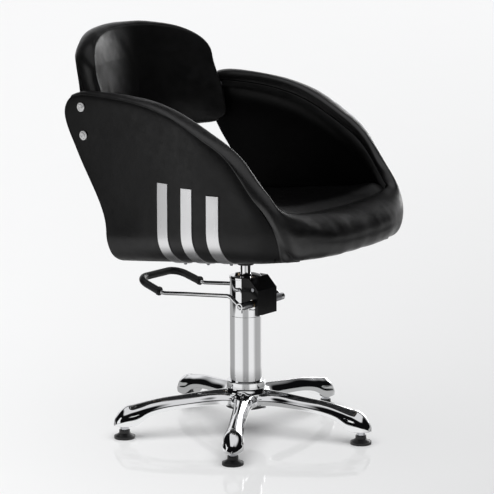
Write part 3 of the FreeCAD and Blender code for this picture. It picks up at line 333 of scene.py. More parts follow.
# =================================================================== shaders
class Shader:
    """Short ways to add and link the nodes of one material or world."""

    def __init__(self, owner):
        owner.use_nodes = True
        self.owner, self.tree = owner, owner.node_tree
        self.tree.nodes.clear()

    def fill(self, node, inputs):
        """Links each input given a socket, and sets each input given a value."""
        for key, value in inputs.items():
            if isinstance(value, bpy.types.NodeSocket):
                self.tree.links.new(value, node.inputs[key])
            else:
                node.inputs[key].default_value = value

    def node(self, kind, inputs=None, **properties):
        node = self.tree.nodes.new("ShaderNode" + kind)
        for key, value in properties.items():
            setattr(node, key, value)
        self.fill(node, inputs or {})
        return node

    def coords(self, scale=(1, 1, 1)):
        """Object coordinates in metres, scaled per axis."""
        vector = self.node("TexCoord").outputs["Object"]
        return self.node("Mapping", {"Scale": scale, "Vector": vector}).outputs[0]

    def noise(self, vector, scale, detail=2.0, roughness=0.5):
        inputs = {"Scale": scale, "Detail": detail, "Roughness": roughness, "Vector": vector}
        return self.node("TexNoise", inputs).outputs["Fac"]

    def remap(self, value, low, high, start=0.0, end=1.0):
        """Maps start..end to low..high."""
        inputs = {"From Min": start, "From Max": end, "To Min": low, "To Max": high,
                  "Value": value}
        return self.node("MapRange", inputs).outputs["Result"]

    def blend(self, factor, first, second):
        """Blends two RGB colours; a colour mix has its colours on inputs 6 and 7."""
        inputs = {6: (*first, 1), 7: (*second, 1), 0: factor}
        return self.node("Mix", inputs, data_type="RGBA").outputs[2]

    def multiply_colour(self, first, second):
        return self.node("Mix", {0: 1, 6: first, 7: second}, data_type="RGBA",
                         blend_type="MULTIPLY").outputs[2]

    def maths(self, operation, *sockets):
        return self.node("Math", dict(enumerate(sockets)), operation=operation).outputs[0]

    def along(self, vector, direction):
        """How far a vector reaches along a direction."""
        return self.node("VectorMath", {1: direction, 0: vector},
                         operation="DOT_PRODUCT").outputs["Value"]

    def length(self, vector):
        return self.node("VectorMath", {0: vector}, operation="LENGTH").outputs["Value"]

    def bumps(self, layers, bevel=0.0):
        """Normal from (height socket, distance, strength) layers over rounded edges."""
        normal = None
        if bevel:
            normal = self.node("Bevel", {"Radius": bevel}, samples=6).outputs[0]
        for height, distance, strength in layers:
            inputs = {"Distance": distance, "Strength": strength, "Height": height}
            if normal:
                inputs["Normal"] = normal
            normal = self.node("Bump", inputs).outputs[0]
        return normal

    def principled(self, inputs):
        surface = self.node("BsdfPrincipled", inputs)
        self.node("OutputMaterial", {0: surface.outputs[0]})
        return surface


def new_shader(name):
    return Shader(bpy.data.materials.new(name))


def shades(colour, factor):
    return tuple(c * factor for c in colour)


# ================================================================= materials
def leather(name, wrinkle, rough=0.33, tone=1.0, wrinkle_scale=18.0, specular=0.40,
            inside=False):
    """Black leather; inside leather shines only where its "lit" attribute paints a highlight."""
    shader = new_shader(name)
    vector = shader.coords()
    patches = shader.noise(vector, scale=9, detail=3)
    colour = shader.blend(patches, shades((0.0058, 0.0058, 0.0061), tone),
                          shades((0.0098, 0.0096, 0.0100), tone))
    roughness = shader.remap(shader.noise(vector, scale=60, detail=3),
                             rough - 0.05, rough + 0.07, start=0.3, end=0.7)
    cells = shader.node("TexVoronoi", {"Scale": 620.0, "Vector": vector},
                        feature="DISTANCE_TO_EDGE")
    pores = shader.remap(cells.outputs["Distance"], 0, 1, start=0.0, end=0.35)
    soft = shader.noise(vector, scale=wrinkle_scale, detail=4, roughness=0.55)
    fine = shader.noise(vector, scale=150, detail=3, roughness=0.6)
    surface = shader.principled({
        "Base Color": colour,
        "Roughness": roughness,
        "IOR": 1.45,
        "Specular IOR Level": specular,
        "Sheen Weight": 0.0 if inside else 0.02,
        "Sheen Roughness": 0.4,
        "Normal": shader.bumps([(soft, 0.012, wrinkle), (fine, 0.0006, 0.10),
                                (pores, 0.00018, 0.22)]),
    })
    if inside:
        lit = shader.node("Attribute", attribute_name="lit").outputs["Fac"]
        shader.fill(surface, {"Specular IOR Level": shader.remap(lit, 0.06, 0.60)})
    return shader.owner


def chrome(name, rough=0.045, base=(0.90, 0.905, 0.915), bevel=0.0):
    """Mirror plating with faint smudges and a slight waviness."""
    shader = new_shader(name)
    vector = shader.coords()
    smudge = shader.noise(vector, scale=35, detail=4, roughness=0.6)
    waviness = (shader.noise(vector, scale=22, detail=2), 0.002, 0.02)
    shader.principled({
        "Base Color": shader.blend(smudge, shades(base, 0.965), base),
        "Metallic": 1.0,
        "Roughness": shader.remap(smudge, rough * 0.7, rough * 1.5, start=0.35, end=0.75),
        "Normal": shader.bumps([waviness], bevel),
    })
    return shader.owner


def metal(name, base, rough, grain_stretch=(1, 1, 1), grain=0.12, bevel=0.0,
          grain_scale=900.0, metallic=1.0):
    """Worked metal with fine grain lines; a small stretch value draws them out on an axis."""
    shader = new_shader(name)
    lines = shader.noise(shader.coords(grain_stretch), scale=grain_scale, detail=3,
                         roughness=0.7)
    broad = shader.noise(shader.coords(), scale=25, detail=3)
    light = tuple(min(1, c * 1.05) for c in base)
    wear = shader.maths("MULTIPLY", lines, shader.remap(broad, 1.1, 1.6))
    shader.principled({
        "Base Color": shader.blend(lines, shades(base, 0.88), light),
        "Metallic": metallic,
        "Roughness": shader.remap(wear, rough * 0.75, rough * 1.3, start=0.2, end=1.0),
        "Normal": shader.bumps([(lines, 0.0002, grain)], bevel),
    })
    return shader.owner


def coated(name, base, rough, bump=0.2, speck_scale=1200.0, specular=0.5, bevel=0.0006):
    """Paint, plastic or rubber with a fine speckle."""
    shader = new_shader(name)
    vector = shader.coords()
    speck = shader.noise(vector, scale=speck_scale, detail=2)
    patches = shader.noise(vector, scale=40, detail=3)
    shader.principled({
        "Base Color": shader.blend(patches, shades(base, 0.8), shades(base, 1.25)),
        "Roughness": shader.remap(speck, rough * 0.85, rough * 1.2, start=0.3, end=0.7),
        "Specular IOR Level": specular,
        "Normal": shader.bumps([(speck, 0.0002, bump)], bevel),
    })
    return shader.owner


def wood(name):
    shader = new_shader(name)
    rings = shader.noise(shader.coords((1, 1, 9)), scale=30, detail=6, roughness=0.6)
    shader.principled({
        "Base Color": shader.blend(rings, (0.42, 0.29, 0.17), (0.66, 0.50, 0.33)),
        "Roughness": 0.62,
        "Normal": shader.bumps([(rings, 0.0005, 0.3)]),
    })
    return shader.owner


def woven_cloth(name):
    """Two sets of threads crossing at right angles."""
    shader = new_shader(name)
    vector = shader.coords()
    threads = [shader.node("TexWave", {"Scale": 420.0, "Distortion": 0.4, "Vector": vector},
                           wave_type="BANDS", bands_direction=axis).outputs["Fac"]
               for axis in "XY"]
    weave = shader.maths("MAXIMUM", *threads)
    shader.principled({
        "Base Color": shader.blend(weave, (0.008, 0.008, 0.009), (0.035, 0.035, 0.037)),
        "Roughness": 0.9,
        "Normal": shader.bumps([(weave, 0.0004, 0.5)]),
    })
    return shader.owner


LEATHER = leather("leather smooth", wrinkle=0.06)
LEATHER_LIP = leather("leather creased", wrinkle=0.10, tone=1.1, wrinkle_scale=14.0,
                      specular=0.85)
# painted shade: the inside leather is given a darker tone than the same leather outside
LEATHER_IN_SHADED = leather("leather inner", wrinkle=0.08, rough=0.42, tone=0.45, inside=True)
LEATHER_BACK = leather("leather back", wrinkle=0.06, wrinkle_scale=12.0)
CHROME = chrome("chrome plate")
SLOTS = {
    "chrome": CHROME,
    "plain_steel": metal("machined steel", base=(0.56, 0.57, 0.59), rough=0.34,
                         grain_stretch=(1, 1, 0.08)),
    "zinc_steel": metal("zinc plated steel", base=(0.66, 0.67, 0.70), rough=0.30,
                        bevel=0.0004),
    "brushed_steel": metal("brushed trim", base=(0.90, 0.90, 0.91), rough=0.30,
                           grain_stretch=(1.0, 1.0, 0.02), grain=0.10, bevel=0.0006,
                           grain_scale=700.0),
    "black_steel": coated("black powder coat", base=(0.014, 0.014, 0.015), rough=0.42),
    "black_plastic": coated("moulded black plastic", base=(0.012, 0.012, 0.013), rough=0.38,
                            bump=0.15, speck_scale=600.0),
    "black_rubber": coated("black rubber grip", base=(0.013, 0.013, 0.014), rough=0.36,
                           bump=0.3, speck_scale=500.0),
    "bronze": metal("bearing bronze", base=(0.55, 0.38, 0.18), rough=0.35),
    "plywood": wood("birch plywood"),
    "black_cloth": woven_cloth("woven dust cloth"),
    "black_leather": LEATHER,
}
CHROME_EDGE = chrome("chrome sheet", rough=0.03, base=(0.88, 0.885, 0.90), bevel=0.0012)
SATIN = metal("satin plated washers", base=(0.97, 0.97, 0.975), rough=0.30, bevel=0.0006,
              grain=0.04, metallic=0.35)
ENAMEL = coated("gloss black enamel", base=(0.004, 0.004, 0.0045), rough=0.16, bump=0.03,
                speck_scale=300.0, specular=0.30, bevel=0.0011)
SPECIAL_FINISHES = {
    "pump_cover": ENAMEL,
    "ear_bolts": SATIN, "ear_washers": SATIN,
    "head_cap": CHROME_EDGE, "pedal_bolts": CHROME_EDGE,
}


def dress(node, material):
    materials = NODES[node].data.materials
    materials.clear()
    materials.append(material)


for part in frame["record"]["subparts"]:
    dress(part["node"], SLOTS[part["material_slot"]])
for node, finish in SPECIAL_FINISHES.items():
    dress(node, finish)

# ============================================================= tub surfaces
BOTTOM_Z = 445.5                          # underside of the tub at y = 0
SLOPE = math.tan(math.radians(4.4))       # the underside rises towards the front
TUCK = 78.0                               # height of the rounded tuck under the sides
# half widths of the tub: (y, x)
outer_half_width = curve([
    (-300, 202), (-275, 220), (-250, 236), (-190, 259), (-100, 281), (0, 288), (50, 288),
    (150, 287), (250, 284), (335, 279)])
inner_half_width = curve([
    (-300, 192), (-275, 200), (-250, 206), (-190, 217), (-100, 224), (0, 226), (150, 227),
    (335, 228)])
# how the outer width draws in with height: (z, share of the half width)
NARROWING = [(400, 1.0), (500, 1.0), (620, 1.0), (680, 0.987), (770, 0.955), (815, 0.935),
             (860, 0.91)]
NARROWING_Z = np.linspace(400, 860, 93)
NARROWING_SHARE = np.convolve(
    np.pad(np.interp(NARROWING_Z, *zip(*NARROWING)), 5, mode="edge"), np.ones(11) / 11, "valid")

# seam between side and padded band, front to rear: (y, z)
SEAM = [(-283, 474), (-276, 508), (-263, 543), (-246, 573), (-225, 603), (-190, 652),
        (-162, 690), (-97, 735), (-25, 770), (47, 790), (120, 801), (190, 805), (245, 806),
        (283, 803), (300, 798)]
# rear edge of the side, bottom to top: (y, z)
REAR = [(190, 418.6), (187, 465), (186, 500), (192, 537), (208, 577), (231, 616), (258, 655),
        (284, 694), (303, 722), (316, 748), (319.5, 764), (316, 781), (308, 792.5), (300, 798)]


def narrowing(z):
    return np.interp(z, NARROWING_Z, NARROWING_SHARE)


def underside_z(y):
    y = np.asarray(y, float)
    return BOTTOM_Z - SLOPE * y - np.maximum(0, 0.028 * (y + 250))


def girth_at(y, z):
    """Girth on the outer surface: 0 to 1 round the tuck, then 1 more per 100 mm up."""
    above = np.asarray(z, float) - underside_z(y)
    round_tuck = np.arccos(1 - np.clip(above / TUCK, 0, 1)) / (math.pi / 2)
    return np.where(above <= TUCK, round_tuck, 1 + (above - TUCK) / 100.0)


def outer_surface(y, girth):
    width = outer_half_width(y)
    tuck_x = np.minimum(200.0, width - 52)
    turn = np.clip(girth, 0, 1) * math.pi / 2
    low = underside_z(y)
    z = np.where(girth <= 1, low + TUCK * (1 - np.cos(turn)), low + TUCK + (girth - 1) * 100)
    x = np.where(girth <= 1, tuck_x + (width - tuck_x) * np.sin(turn), width * narrowing(z))
    return np.stack([x, y, z], -1)


# =============================================================== side panels
def unrolled(points):
    """(y, z) points as (y, girth x 100), so that both run in about millimetres."""
    return np.array([(y, 100 * float(girth_at(y, z))) for y, z in points])


def side_panel_grid():
    along, up = 260, 200
    rear_radius, top_radius, turn_radius = 7.0, 3.0, 7
    seam_steps = 3
    top = path(unrolled(SEAM), along)
    rear = path(unrolled(REAR), up)
    rear[0] = REAR[0][0], 0
    rear[-1] = top[-1]
    front_y = SEAM[0][0]
    low = np.stack([np.linspace(front_y, REAR[0][0], along), np.zeros(along)], 1)
    front = np.stack([np.full(up, front_y), np.linspace(0, top[0, 1], up)], 1)
    flat = coons(low, top, front, rear)
    grid = outer_surface(flat[..., 0], flat[..., 1] / 100)

    # the lower rear of the side leans in
    y, z = grid[..., 1], grid[..., 2]
    lean = smooth_step(y, 60, 185) * smooth_step(z, 424, 468) * (1 - smooth_step(z, 500, 610))
    grid[..., 0] -= 5.0 * lean
    grid = respace(grid, 0, [0, 2, 5], 96, [rear_radius + gap for gap in (0, 2, 5, 9)])
    grid = respace(grid, 1, [0, 2, 5], 74, [top_radius + gap for gap in (0, 1.5, 3.5, 7, 12)],)
    normals = facing_normals(grid, 50, 50, axis=0, sign=1)

    # soft fullness: the cover draws in at its seam and swells a little below it
    nu, nv = grid.shape[:2]
    below_seam = from_last(grid)
    swell = 0.9 * waves(grid, seed=3, scale=190) * smooth_step(below_seam, 5, 60)
    grid = grid + normals * swell[..., None]
    grid = grid - normals * (2.2 * np.exp(-below_seam / 9.0))[..., None]

    # the rear edge wraps round the wall, which thins to 21 low down
    x, y, z = grid[-1].T
    wall = np.clip((x - inner_half_width(y)) / np.maximum(normals[-1, :, 0], 0.35), 20, 54)
    high = smooth_step(z, 470, 540)
    wall = wall * high + 21 * (1 - high)
    wrapped = roll_edge(grid, normals, rear_radius, wall - rear_radius, steps=7, axis=0)
    onward = unit(grid[-1] - grid[-2])
    last = wrapped[-1]
    inner_turn = [last - normals[-1] * turn_radius * math.sin(turn)
                  - onward * turn_radius * (1 - math.cos(turn)) for turn in (0.5, 1.0, 1.57)]

    # low down the cover runs on inwards and closes the pocket beside the rear panel
    pocket = np.stack([np.full(len(z), 218.0), np.full(len(z), 183.5),
                       np.clip(z + 22, 452, 800)], 1)
    low_share = (1 - smooth_step(z, 520, 560))[:, None]
    closing = [inner_turn[-1] * (1 - t * low_share) + pocket * t * low_share
               for t in (0.25, 0.5, 0.75, 1.0)]
    wrapped = np.concatenate([wrapped, np.stack(inner_turn + closing, 0)], 0)

    # roll the top and bottom edges, then carry those rolls round the wrapped rear
    rolled = roll_edge(grid, normals, top_radius, 10)
    rolled = roll_edge(rolled, normals, 1.5, 5, steps=seam_steps, end=False)
    start = seam_steps + 3
    stop = start + nv
    full = np.zeros((wrapped.shape[0], rolled.shape[1], 3))
    full[:nu] = rolled
    full[:, start:stop] = wrapped
    corner = rolled[nu - 1]
    full[nu:, :start] = wrapped[nu:, :1] + (corner[:start] - corner[start])[None]
    full[nu:, stop:] = wrapped[nu:, -1:] + (corner[stop:] - corner[stop - 1])[None]
    return full


shell_pair("side_panel", side_panel_grid(), LEATHER, "side_cover", probe=(50, 50), outwards=1)

# ========================================== padded band: arm, front lip, arm
# arm stations, front to rear: (y, z of the outer seam, z of the crest)
ARM = [(-225, 603, 640.5), (-190, 652, 680.5), (-150, 701, 714), (-97, 735, 743),
       (-40, 764, 770.5), (20, 784, 792.5), (80, 797, 805), (140, 803, 811.5),
       (200, 805.5, 813.5), (250, 806, 813), (283, 803, 808), (301, 798, 801.5)]
# crest line of the arm: (y, x)
crest_x = curve([
    (-260, 226), (-225, 228.5), (-190, 229.5), (-155, 231), (-116, 233), (-54, 236), (10, 237),
    (80, 238.5), (146, 242), (197, 247), (240, 251), (283, 254), (311, 256)])
# sections from the left front corner to the middle of the lip: (x, y, z), inner edge to seam
CORNER = [
    [(210, -237, 602), (214, -241, 612.5), (220, -244, 618.5), (227, -247, 617.5),
     (234, -250, 604), (238.3, -250, 587), (238, -246, 573)],
    [(207, -251, 588), (213, -258, 595), (219, -265, 595), (225.5, -270.5, 586),
     (230, -274.5, 565), (228, -278, 535), (219.5, -276.5, 508)],
    [(198, -257, 583), (203, -266, 585), (208, -279, 578), (212, -290, 559),
     (210, -298.5, 529), (202, -296, 494), (187, -283.5, 474)],
    [(172, -258, 575), (174, -269, 575.5), (176, -288, 567), (178, -305, 549),
     (177, -312.5, 521), (171, -305, 485.5), (160, -280, 467.5)],
    [(130, -257.5, 568), (130, -269, 568), (130, -291, 561), (130, -315, 544),
     (130, -325.5, 516), (127, -312, 480.5), (120, -277, 464.5)],
    [(70, -256, 563.5), (70, -268.5, 563.5), (70, -293.5, 557.5), (70, -319, 541),
     (70, -331.5, 512.5), (69, -317, 477.5), (65, -275, 463)],
    [(0, -255, 562), (0, -268, 562), (0, -294, 556), (0, -320.5, 540), (0, -333, 511.5),
     (0, -319, 476.5), (0, -274, 462.5)],
]


def arm_section(y, seam_z, crest_z):
    """Seven points from the inner edge over the crest to the outer seam."""
    outside = float(outer_half_width(y) * narrowing(seam_z))
    inside, crest = float(inner_half_width(y)), float(crest_x(y))
    inner, outer, rise = crest - inside, outside - crest, crest_z - seam_z
    drop = 24 - max(0, y - 270) * 0.2
    return [(inside + 1.5, y, crest_z - drop),
            (inside + 1.5 + 0.10 * inner, y, crest_z - 0.46 * drop),
            (inside + 1.5 + 0.48 * inner, y, crest_z - 3.0),
            (crest + 0.12 * outer, y, crest_z),
            (crest + 0.56 * outer, y, seam_z + 0.80 * rise),
            (outside - 0.10 * outer - 1, y, seam_z + 0.42 * rise),
            (outside, y, seam_z)]


def band_surface():
    """Dense grid of the band, from the left arm's rear end round to the right arm's."""
    half = np.array([arm_section(*station) for station in ARM[::-1]] + CORNER, float)
    sections = np.concatenate([half, mirror_x(half[:-1][::-1])], 0)
    run = run_length(sections[:, 3])
    rows = spline(run, sections)(np.linspace(0, run[-1], 700))
    across = spline(np.arange(7.0), np.swapaxes(rows, 0, 1))(np.linspace(0, 6, 90))
    return np.swapaxes(across, 0, 1)


def band_relief(grid, along, pucker):
    """Height of the creases and puckers over the band's smooth shape."""
    from_inner, from_seam = from_first(grid), from_last(grid)
    lip = np.exp(-((along - 0.5) / 0.13) ** 4)[:, None]
    corners = (np.exp(-((along - 0.355) / 0.05) ** 2)
               + np.exp(-((along - 0.645) / 0.05) ** 2))[:, None]
    relief = 0.8 * waves(grid, seed=11, scale=80) * (0.35 + 0.65 * lip)
    relief += 0.18 * waves(grid, seed=12, scale=32) * lip
    relief += 0.5 * waves(grid, seed=14, scale=140)
    relief += 0.9 * corners * pucker * np.exp(-from_inner / 16)
    relief += 0.15 * pucker * np.exp(-from_inner / 9)
    relief += 0.12 * np.roll(pucker, 5) * np.exp(-from_seam / 9)
    return relief - 0.8 * np.exp(-from_inner / 4) - 1.8 * np.exp(-from_seam / 6)


def band_grid(surface):
    """The show face of the band with its normals."""
    grid = respace(surface, 0, [0, 2, 5], 330, [0, 2, 5])
    grid = respace(grid, 1, [1.8, 3.5, 6, 9.5], 26, [3, 4.5, 6.5, 9.5, 13.5])
    normals = facing_normals(grid, grid.shape[0] // 2, 12, axis=1, sign=-1)
    run = run_length(grid[:, 15])
    along = run / run[-1]
    pucker = np.sin(run / 8.5 + 1.4 * np.sin(run / 37.0))[:, None] \
        * (0.6 + 0.4 * np.sin(run / 53.0 + 1)[:, None])
    grid = grid + normals * band_relief(grid, along, pucker)[..., None]
    return grid, normals, along


def padded_band(grid, normals, along):
    nu, nv = grid.shape[:2]
    rolled = roll_edge(grid, normals, 3.0, 11)
    # below the lip the edge runs back flat under the seat instead of into a groove
    flat = np.exp(-((along - 0.5) / 0.128) ** 8)[:, None]
    extra = rolled.shape[1] - nv
    for k in range(extra):
        t = (k + 1) / extra
        target = grid[:, -1].copy()
        y = target[:, 1]
        y += (np.maximum(-248.5, y) - y) * t
        target[:, 2] += (underside_z(y) - 0.8 - target[:, 2]) * min(1, 2.2 * t)
        rolled[:, nv + k] = rolled[:, nv + k] * (1 - flat) + target * flat
    rolled = roll_edge(rolled, normals, 1.8, 9, end=False)
    # column 20 of the rolled grid is column 13 of the show face
    rolled_normals = grid_normals(rolled)
    rolled_normals = rolled_normals * np.sign(
        np.sum(rolled_normals[nu // 2, 20] * normals[nu // 2, 13]))
    ended = roll_edge(rolled, rolled_normals, 3.0, 7, axis=0)
    ended = roll_edge(ended, rolled_normals, 3.0, 7, axis=0, end=False)
    flip = cell_normal(ended, ended.shape[0] // 2, 20)[1] > 0
    shell("padded_band", ended, LEATHER_LIP, ["arm_band_left", "arm_band_right", "front_lip"],
          flip)


def inner_seam_bead(grid, normals):
    """Dark bead in the bottom of the inner seam."""
    sides, radius, sunk = 12, 6.2, 7.2
    outward = normals[:, 0]
    centre = grid[:, 0] - outward * sunk
    across = unit(np.cross(unit(np.gradient(centre, axis=0)), outward))
    turn = np.linspace(0, 2 * math.pi, sides, endpoint=False)[None, :, None]
    bead = centre[:, None] + radius * (np.cos(turn) * outward[:, None]
                                       + np.sin(turn) * across[:, None])
    faces = quads(len(bead), sides, wrap_v=True)
    last = (len(bead) - 1) * sides
    faces += [tuple(range(sides))[::-1], tuple(range(last, last + sides))]
    make("inner_seam_bead", bead.reshape(-1, 3), faces, LEATHER)


band = band_surface()
INNER_EDGE = band[:, 0]
band_face, band_normals, band_along = band_grid(band)
padded_band(band_face, band_normals, band_along)
inner_seam_bead(band_face, band_normals)


# =============================================================== inner pads
def inner_pad_grid(top):
    """Left pad on the inside of the arm, under the band's inner edge (front to rear)."""
    along, up = len(top), 150
    low_z, low_rear_y = 470, 184
    edge = top[:, 1:].copy()
    edge[:, 1] -= 1.0
    rear_points = [(y - 4.5, z) for y, z in REAR if 520 < z < 775]
    rear = path([(low_rear_y, low_z), (179.5, 500)] + rear_points
                + [(302, 772.0), tuple(edge[-1])], up)
    low = np.stack([np.linspace(edge[0, 0], low_rear_y, along), np.full(along, low_z)], 1)
    front = np.stack([np.full(up, edge[0, 0]), np.linspace(low_z, edge[0, 1], up)], 1)
    flat = coons(low, edge, front, rear)
    y, z = flat[..., 0], flat[..., 1]

    # a firm roll just below the edge and a broad swell further down
    below = from_last(flat)
    edge_x = np.interp(y[:, -1], top[:, 1], top[:, 0])[:, None]
    roll = 5.0 * np.exp(-((below - 19) / 15.0) ** 2) * (1 - 0.5 * smooth_step(y, 250, 300))
    roll = roll + 3.0 * np.exp(-((below - 100) / 60.0) ** 2)
    x = inner_half_width(y) + 0.5 - roll
    x = x + (edge_x - 1.0 - x) * np.exp(-below / 4.0)
    grid = np.stack([x, y, z], -1)
    grid = respace(grid, 0, [3, 5, 8], 80, [4, 6, 9])
    grid = respace(grid, 1, [0, 5], 52, [1.8, 3.5, 6, 9, 12])

    normals = facing_normals(grid, 40, 30, axis=0, sign=-1)
    below = from_last(grid)
    relief = 0.7 * waves(grid, seed=21, scale=90) - 0.8 * np.exp(-below / 4)
    relief += 0.3 * waves(grid, seed=22, scale=28) * np.exp(-below / 45)
    grid = grid + normals * relief[..., None]
    rolled = roll_edge(grid, normals, 1.8, 9)
    extra = rolled.shape[1] - grid.shape[1]
    normals = np.concatenate([normals, np.repeat(normals[:, -1:], extra, 1)], 1)
    rolled = roll_edge(rolled, normals, 4.0, 10, axis=0)
    return roll_edge(rolled, normals, 3.0, 8, axis=0, end=False)


def inner_pads():
    left_edge = INNER_EDGE[:len(INNER_EDGE) // 2]
    stop = int(np.argmax(left_edge[:, 1] <= -251))
    top = even(left_edge[:stop][::-1], 220)
    grid = inner_pad_grid(top)
    flat = grid.reshape(-1, 3)
    below = np.interp(flat[:, 1], top[:, 1], top[:, 2]) - flat[:, 2]
    # painted highlight along the roll just below the band's edge
    lit = np.clip(1 - np.abs(below - 14) / 34.0, 0, 1)
    for pad in shell_pair("inner_pad_cover", grid, LEATHER_IN_SHADED, "inner_pad",
                          probe=(40, 30), outwards=-1):
        mark_lit(pad, lit)


inner_pads()

# ============================================================= seat cushion
CUSHION_COUNTS = (74, 76)      # points across and from front to rear
CUSHION_REAR = 164.5
CUSHION_SLOPE = 0.077          # fall of the cushion towards the rear
# band's inner edge along the front of the cushion, right to left
FRONT_EDGE = INNER_EDGE[(np.abs(INNER_EDGE[:, 0]) < 206) & (INNER_EDGE[:, 1] < -240)]
FRONT_EDGE = FRONT_EDGE[np.argsort(FRONT_EDGE[:, 0])]


def front_edge(x, column):
    return np.interp(x, FRONT_EDGE[:, 0], FRONT_EDGE[:, column])


def round_drop(distance, radius, height):
    """Drop of a rounded edge at a distance in from it."""
    t = np.clip(1 - distance / radius, 0, 1)
    return height * (1 - np.sqrt(np.clip(1 - t ** 2, 0, 1)))


def cushion_top():
    nx, ny = CUSHION_COUNTS
    across = np.linspace(-1, 1, nx)
    across = np.sign(across) * (1 - (1 - np.abs(across)) ** 1.25)
    across, back = np.meshgrid(across, np.linspace(0, 1, ny), indexing="ij")
    front_y = front_edge(across * 205, column=1) + 1.5
    front_z = front_edge(across * 205, column=2) - 1.5
    y = front_y + (CUSHION_REAR - front_y) * back
    half_width = inner_half_width(y) - 2.0
    x = across * half_width
    to_front, to_side, to_rear = y - front_y, half_width - np.abs(x), CUSHION_REAR - y
    crown = 7.0 * (1 - (x / 215) ** 2) \
        * np.sin(np.clip((y + 250) / 415, 0, 1) * math.pi) ** 0.7
    plateau = 562 - CUSHION_SLOPE * y + crown - 11 * smooth_step(to_front, 60, 330)
    nose = front_z + 15.0 * smooth_step(to_front, -8, 34)
    settled = smooth_step(to_front, 12, 95)
    z = nose * (1 - settled) + plateau * settled
    z = z - round_drop(to_side, 26, 20) - round_drop(to_rear, 22, 22) \
        - round_drop(to_front, 9, 5)
    top = np.stack([x, y, z], -1)

    normals = facing_normals(top, 30, 30, axis=2, sign=1)
    ripple = np.sin(x / 15.0 + 0.8 * np.sin(x / 41.0)) * np.exp(-from_first(top) / 14)
    relief = 0.9 * waves(top, seed=31, scale=110) + 0.35 * waves(top, seed=32, scale=38)
    return top + normals * (relief + 0.7 * ripple)[..., None]


def seat_cushion():
    nx, ny = CUSHION_COUNTS
    wall_rows = 8
    verts = cushion_top().reshape(-1, 3)
    faces = quads(nx, ny)
    top_count = nx * ny
    border = [i * ny for i in range(nx)] + [(nx - 1) * ny + j for j in range(1, ny)] \
        + [i * ny + ny - 1 for i in range(nx - 2, -1, -1)] + list(range(ny - 2, 0, -1))
    around = len(border)
    rim = verts[border]

    # walls down from the border, drawn in a little towards the base
    base_z = 467.5 - CUSHION_SLOPE * rim[:, 1]
    walls, above = [], border
    for k in range(1, wall_rows + 1):
        t = k / wall_rows
        row = rim.copy()
        row[:, 2] += (base_z - rim[:, 2]) * t
        row[:, 0] -= np.sign(rim[:, 0]) * (2.0 * t ** 2 - 0.45 * np.sin(t * math.pi))
        row[:, 1] -= np.sign(rim[:, 1]) * 1.5 * t ** 2
        walls.append(row)
        below = [top_count + (k - 1) * around + i for i in range(around)]
        for i in range(around):
            j = (i + 1) % around
            faces.append((above[i], above[j], below[j], below[i]))
        above = below
    verts = np.concatenate([verts] + walls + [[[0, -40, 469]]], 0)
    centre = len(verts) - 1
    for i in range(around):
        faces.append((above[i], above[(i + 1) % around], centre))
    faces = turned_faces(faces, verts, probe=100, axis=2, sign=1)
    cushion = make("seat_pad", verts, faces, LEATHER_IN_SHADED, ["seat_cushion"])
    # painted highlight along the front edge of the cushion
    mark_lit(cushion, 1 - smooth_step(verts[:, 1] - front_edge(verts[:, 0], 1), 16, 44))
    hold = np.zeros(len(verts))
    hold[border] = 1.0
    hold[top_count:] = 1.0
    inflate(cushion, hold, pressure=3.0, cap_mm=4, relax=8)


seat_cushion()

# ================================================================= backrest
BACK_SAG = 78.0                # how far the middle of the face lies behind its ends
BACK_HALF = 215.0              # half width
BACK_THICK = 66.0
BACK_CENTRE = np.array([0.0, 812.0])       # (x, z)
BACK_EDGE = 9.0                # radius of the rounded front and rear edges
BACK_AROUND = 260
BEND_Y, BEND_Z = 270, 862      # the face leans back below this and stands steeper above
FRONT_CROWN, REAR_CROWN = 13.0, 7.0
FACE_RINGS, EDGE_RINGS, BORDER_RINGS = 33, 6, 16


def back_face_y(x, z):
    foot_y, foot_z = 232, 712
    lean = foot_y + (z - foot_z) * ((BEND_Y - foot_y) / (BEND_Z - foot_z))
    y = np.where(z < BEND_Z, lean, BEND_Y + (z - BEND_Z) * 0.12)
    near = np.abs((z - BEND_Z) / 40.0)
    soften = np.where(near < 1, -2.6 * (1 - near) ** 2, 0)
    return y + soften + BACK_SAG * (1 - (x / BACK_HALF) ** 2)


def back_depth(outline):
    """Thickness from front to rear: fuller low down, thinner at the top and the ends."""
    x, z = outline.T
    thick = BACK_THICK + 8 * (1 - smooth_step(z, 770, 840)) - np.maximum(0, z - 880) * 0.25
    return thick * (1 - 0.10 * (np.abs(x) / BACK_HALF) ** 6)


def back_surface(outline, share):
    """Points at (x, z) on the front face (share 0) or on the rear face (share 1)."""
    x, z = outline.T
    low_end = (np.abs(x) / BACK_HALF) ** 3 * (1 - smooth_step(z, 740, 850))
    y = back_face_y(x, z) + back_depth(outline) * share - 17.0 * low_end * (1 - share)
    return np.stack([x, y, z], 1)


def back_outline():
    """Closed outline in (x, z), starting at the top middle, with its outward normals."""
    quarter = math.pi / 2
    right = [(BACK_HALF * math.sin(t * quarter) ** 0.84, 850 + 87 * math.cos(t * quarter) ** 0.80)
             for t in np.linspace(0, 1, 60)]
    right += [(BACK_HALF + 0.6, 820), (BACK_HALF + 0.2, 780), (BACK_HALF - 2, 748)]
    right += [(BACK_HALF - 36 + 34 * math.cos(t * quarter), 724 - 34 * math.sin(t * quarter))
              for t in np.linspace(0.15, 1, 8)]
    right = np.array(right + [(140, 689), (70, 688.5), (0, 688.5)])
    left = right[::-1][1:-1] * np.array([-1, 1])
    outline = even(np.concatenate([right, left, right[:1]], 0), BACK_AROUND + 1)[:-1]
    for _ in range(6):
        outline = 0.5 * outline + 0.25 * (np.roll(outline, 1, 0) + np.roll(outline, -1, 0))
    tangent = unit(np.roll(outline, -1, 0) - np.roll(outline, 1, 0))
    normal = np.stack([tangent[:, 1], -tangent[:, 0]], 1)
    if normal[np.argmax(outline[:, 0]), 0] < 0:
        normal = -normal
    return outline, normal


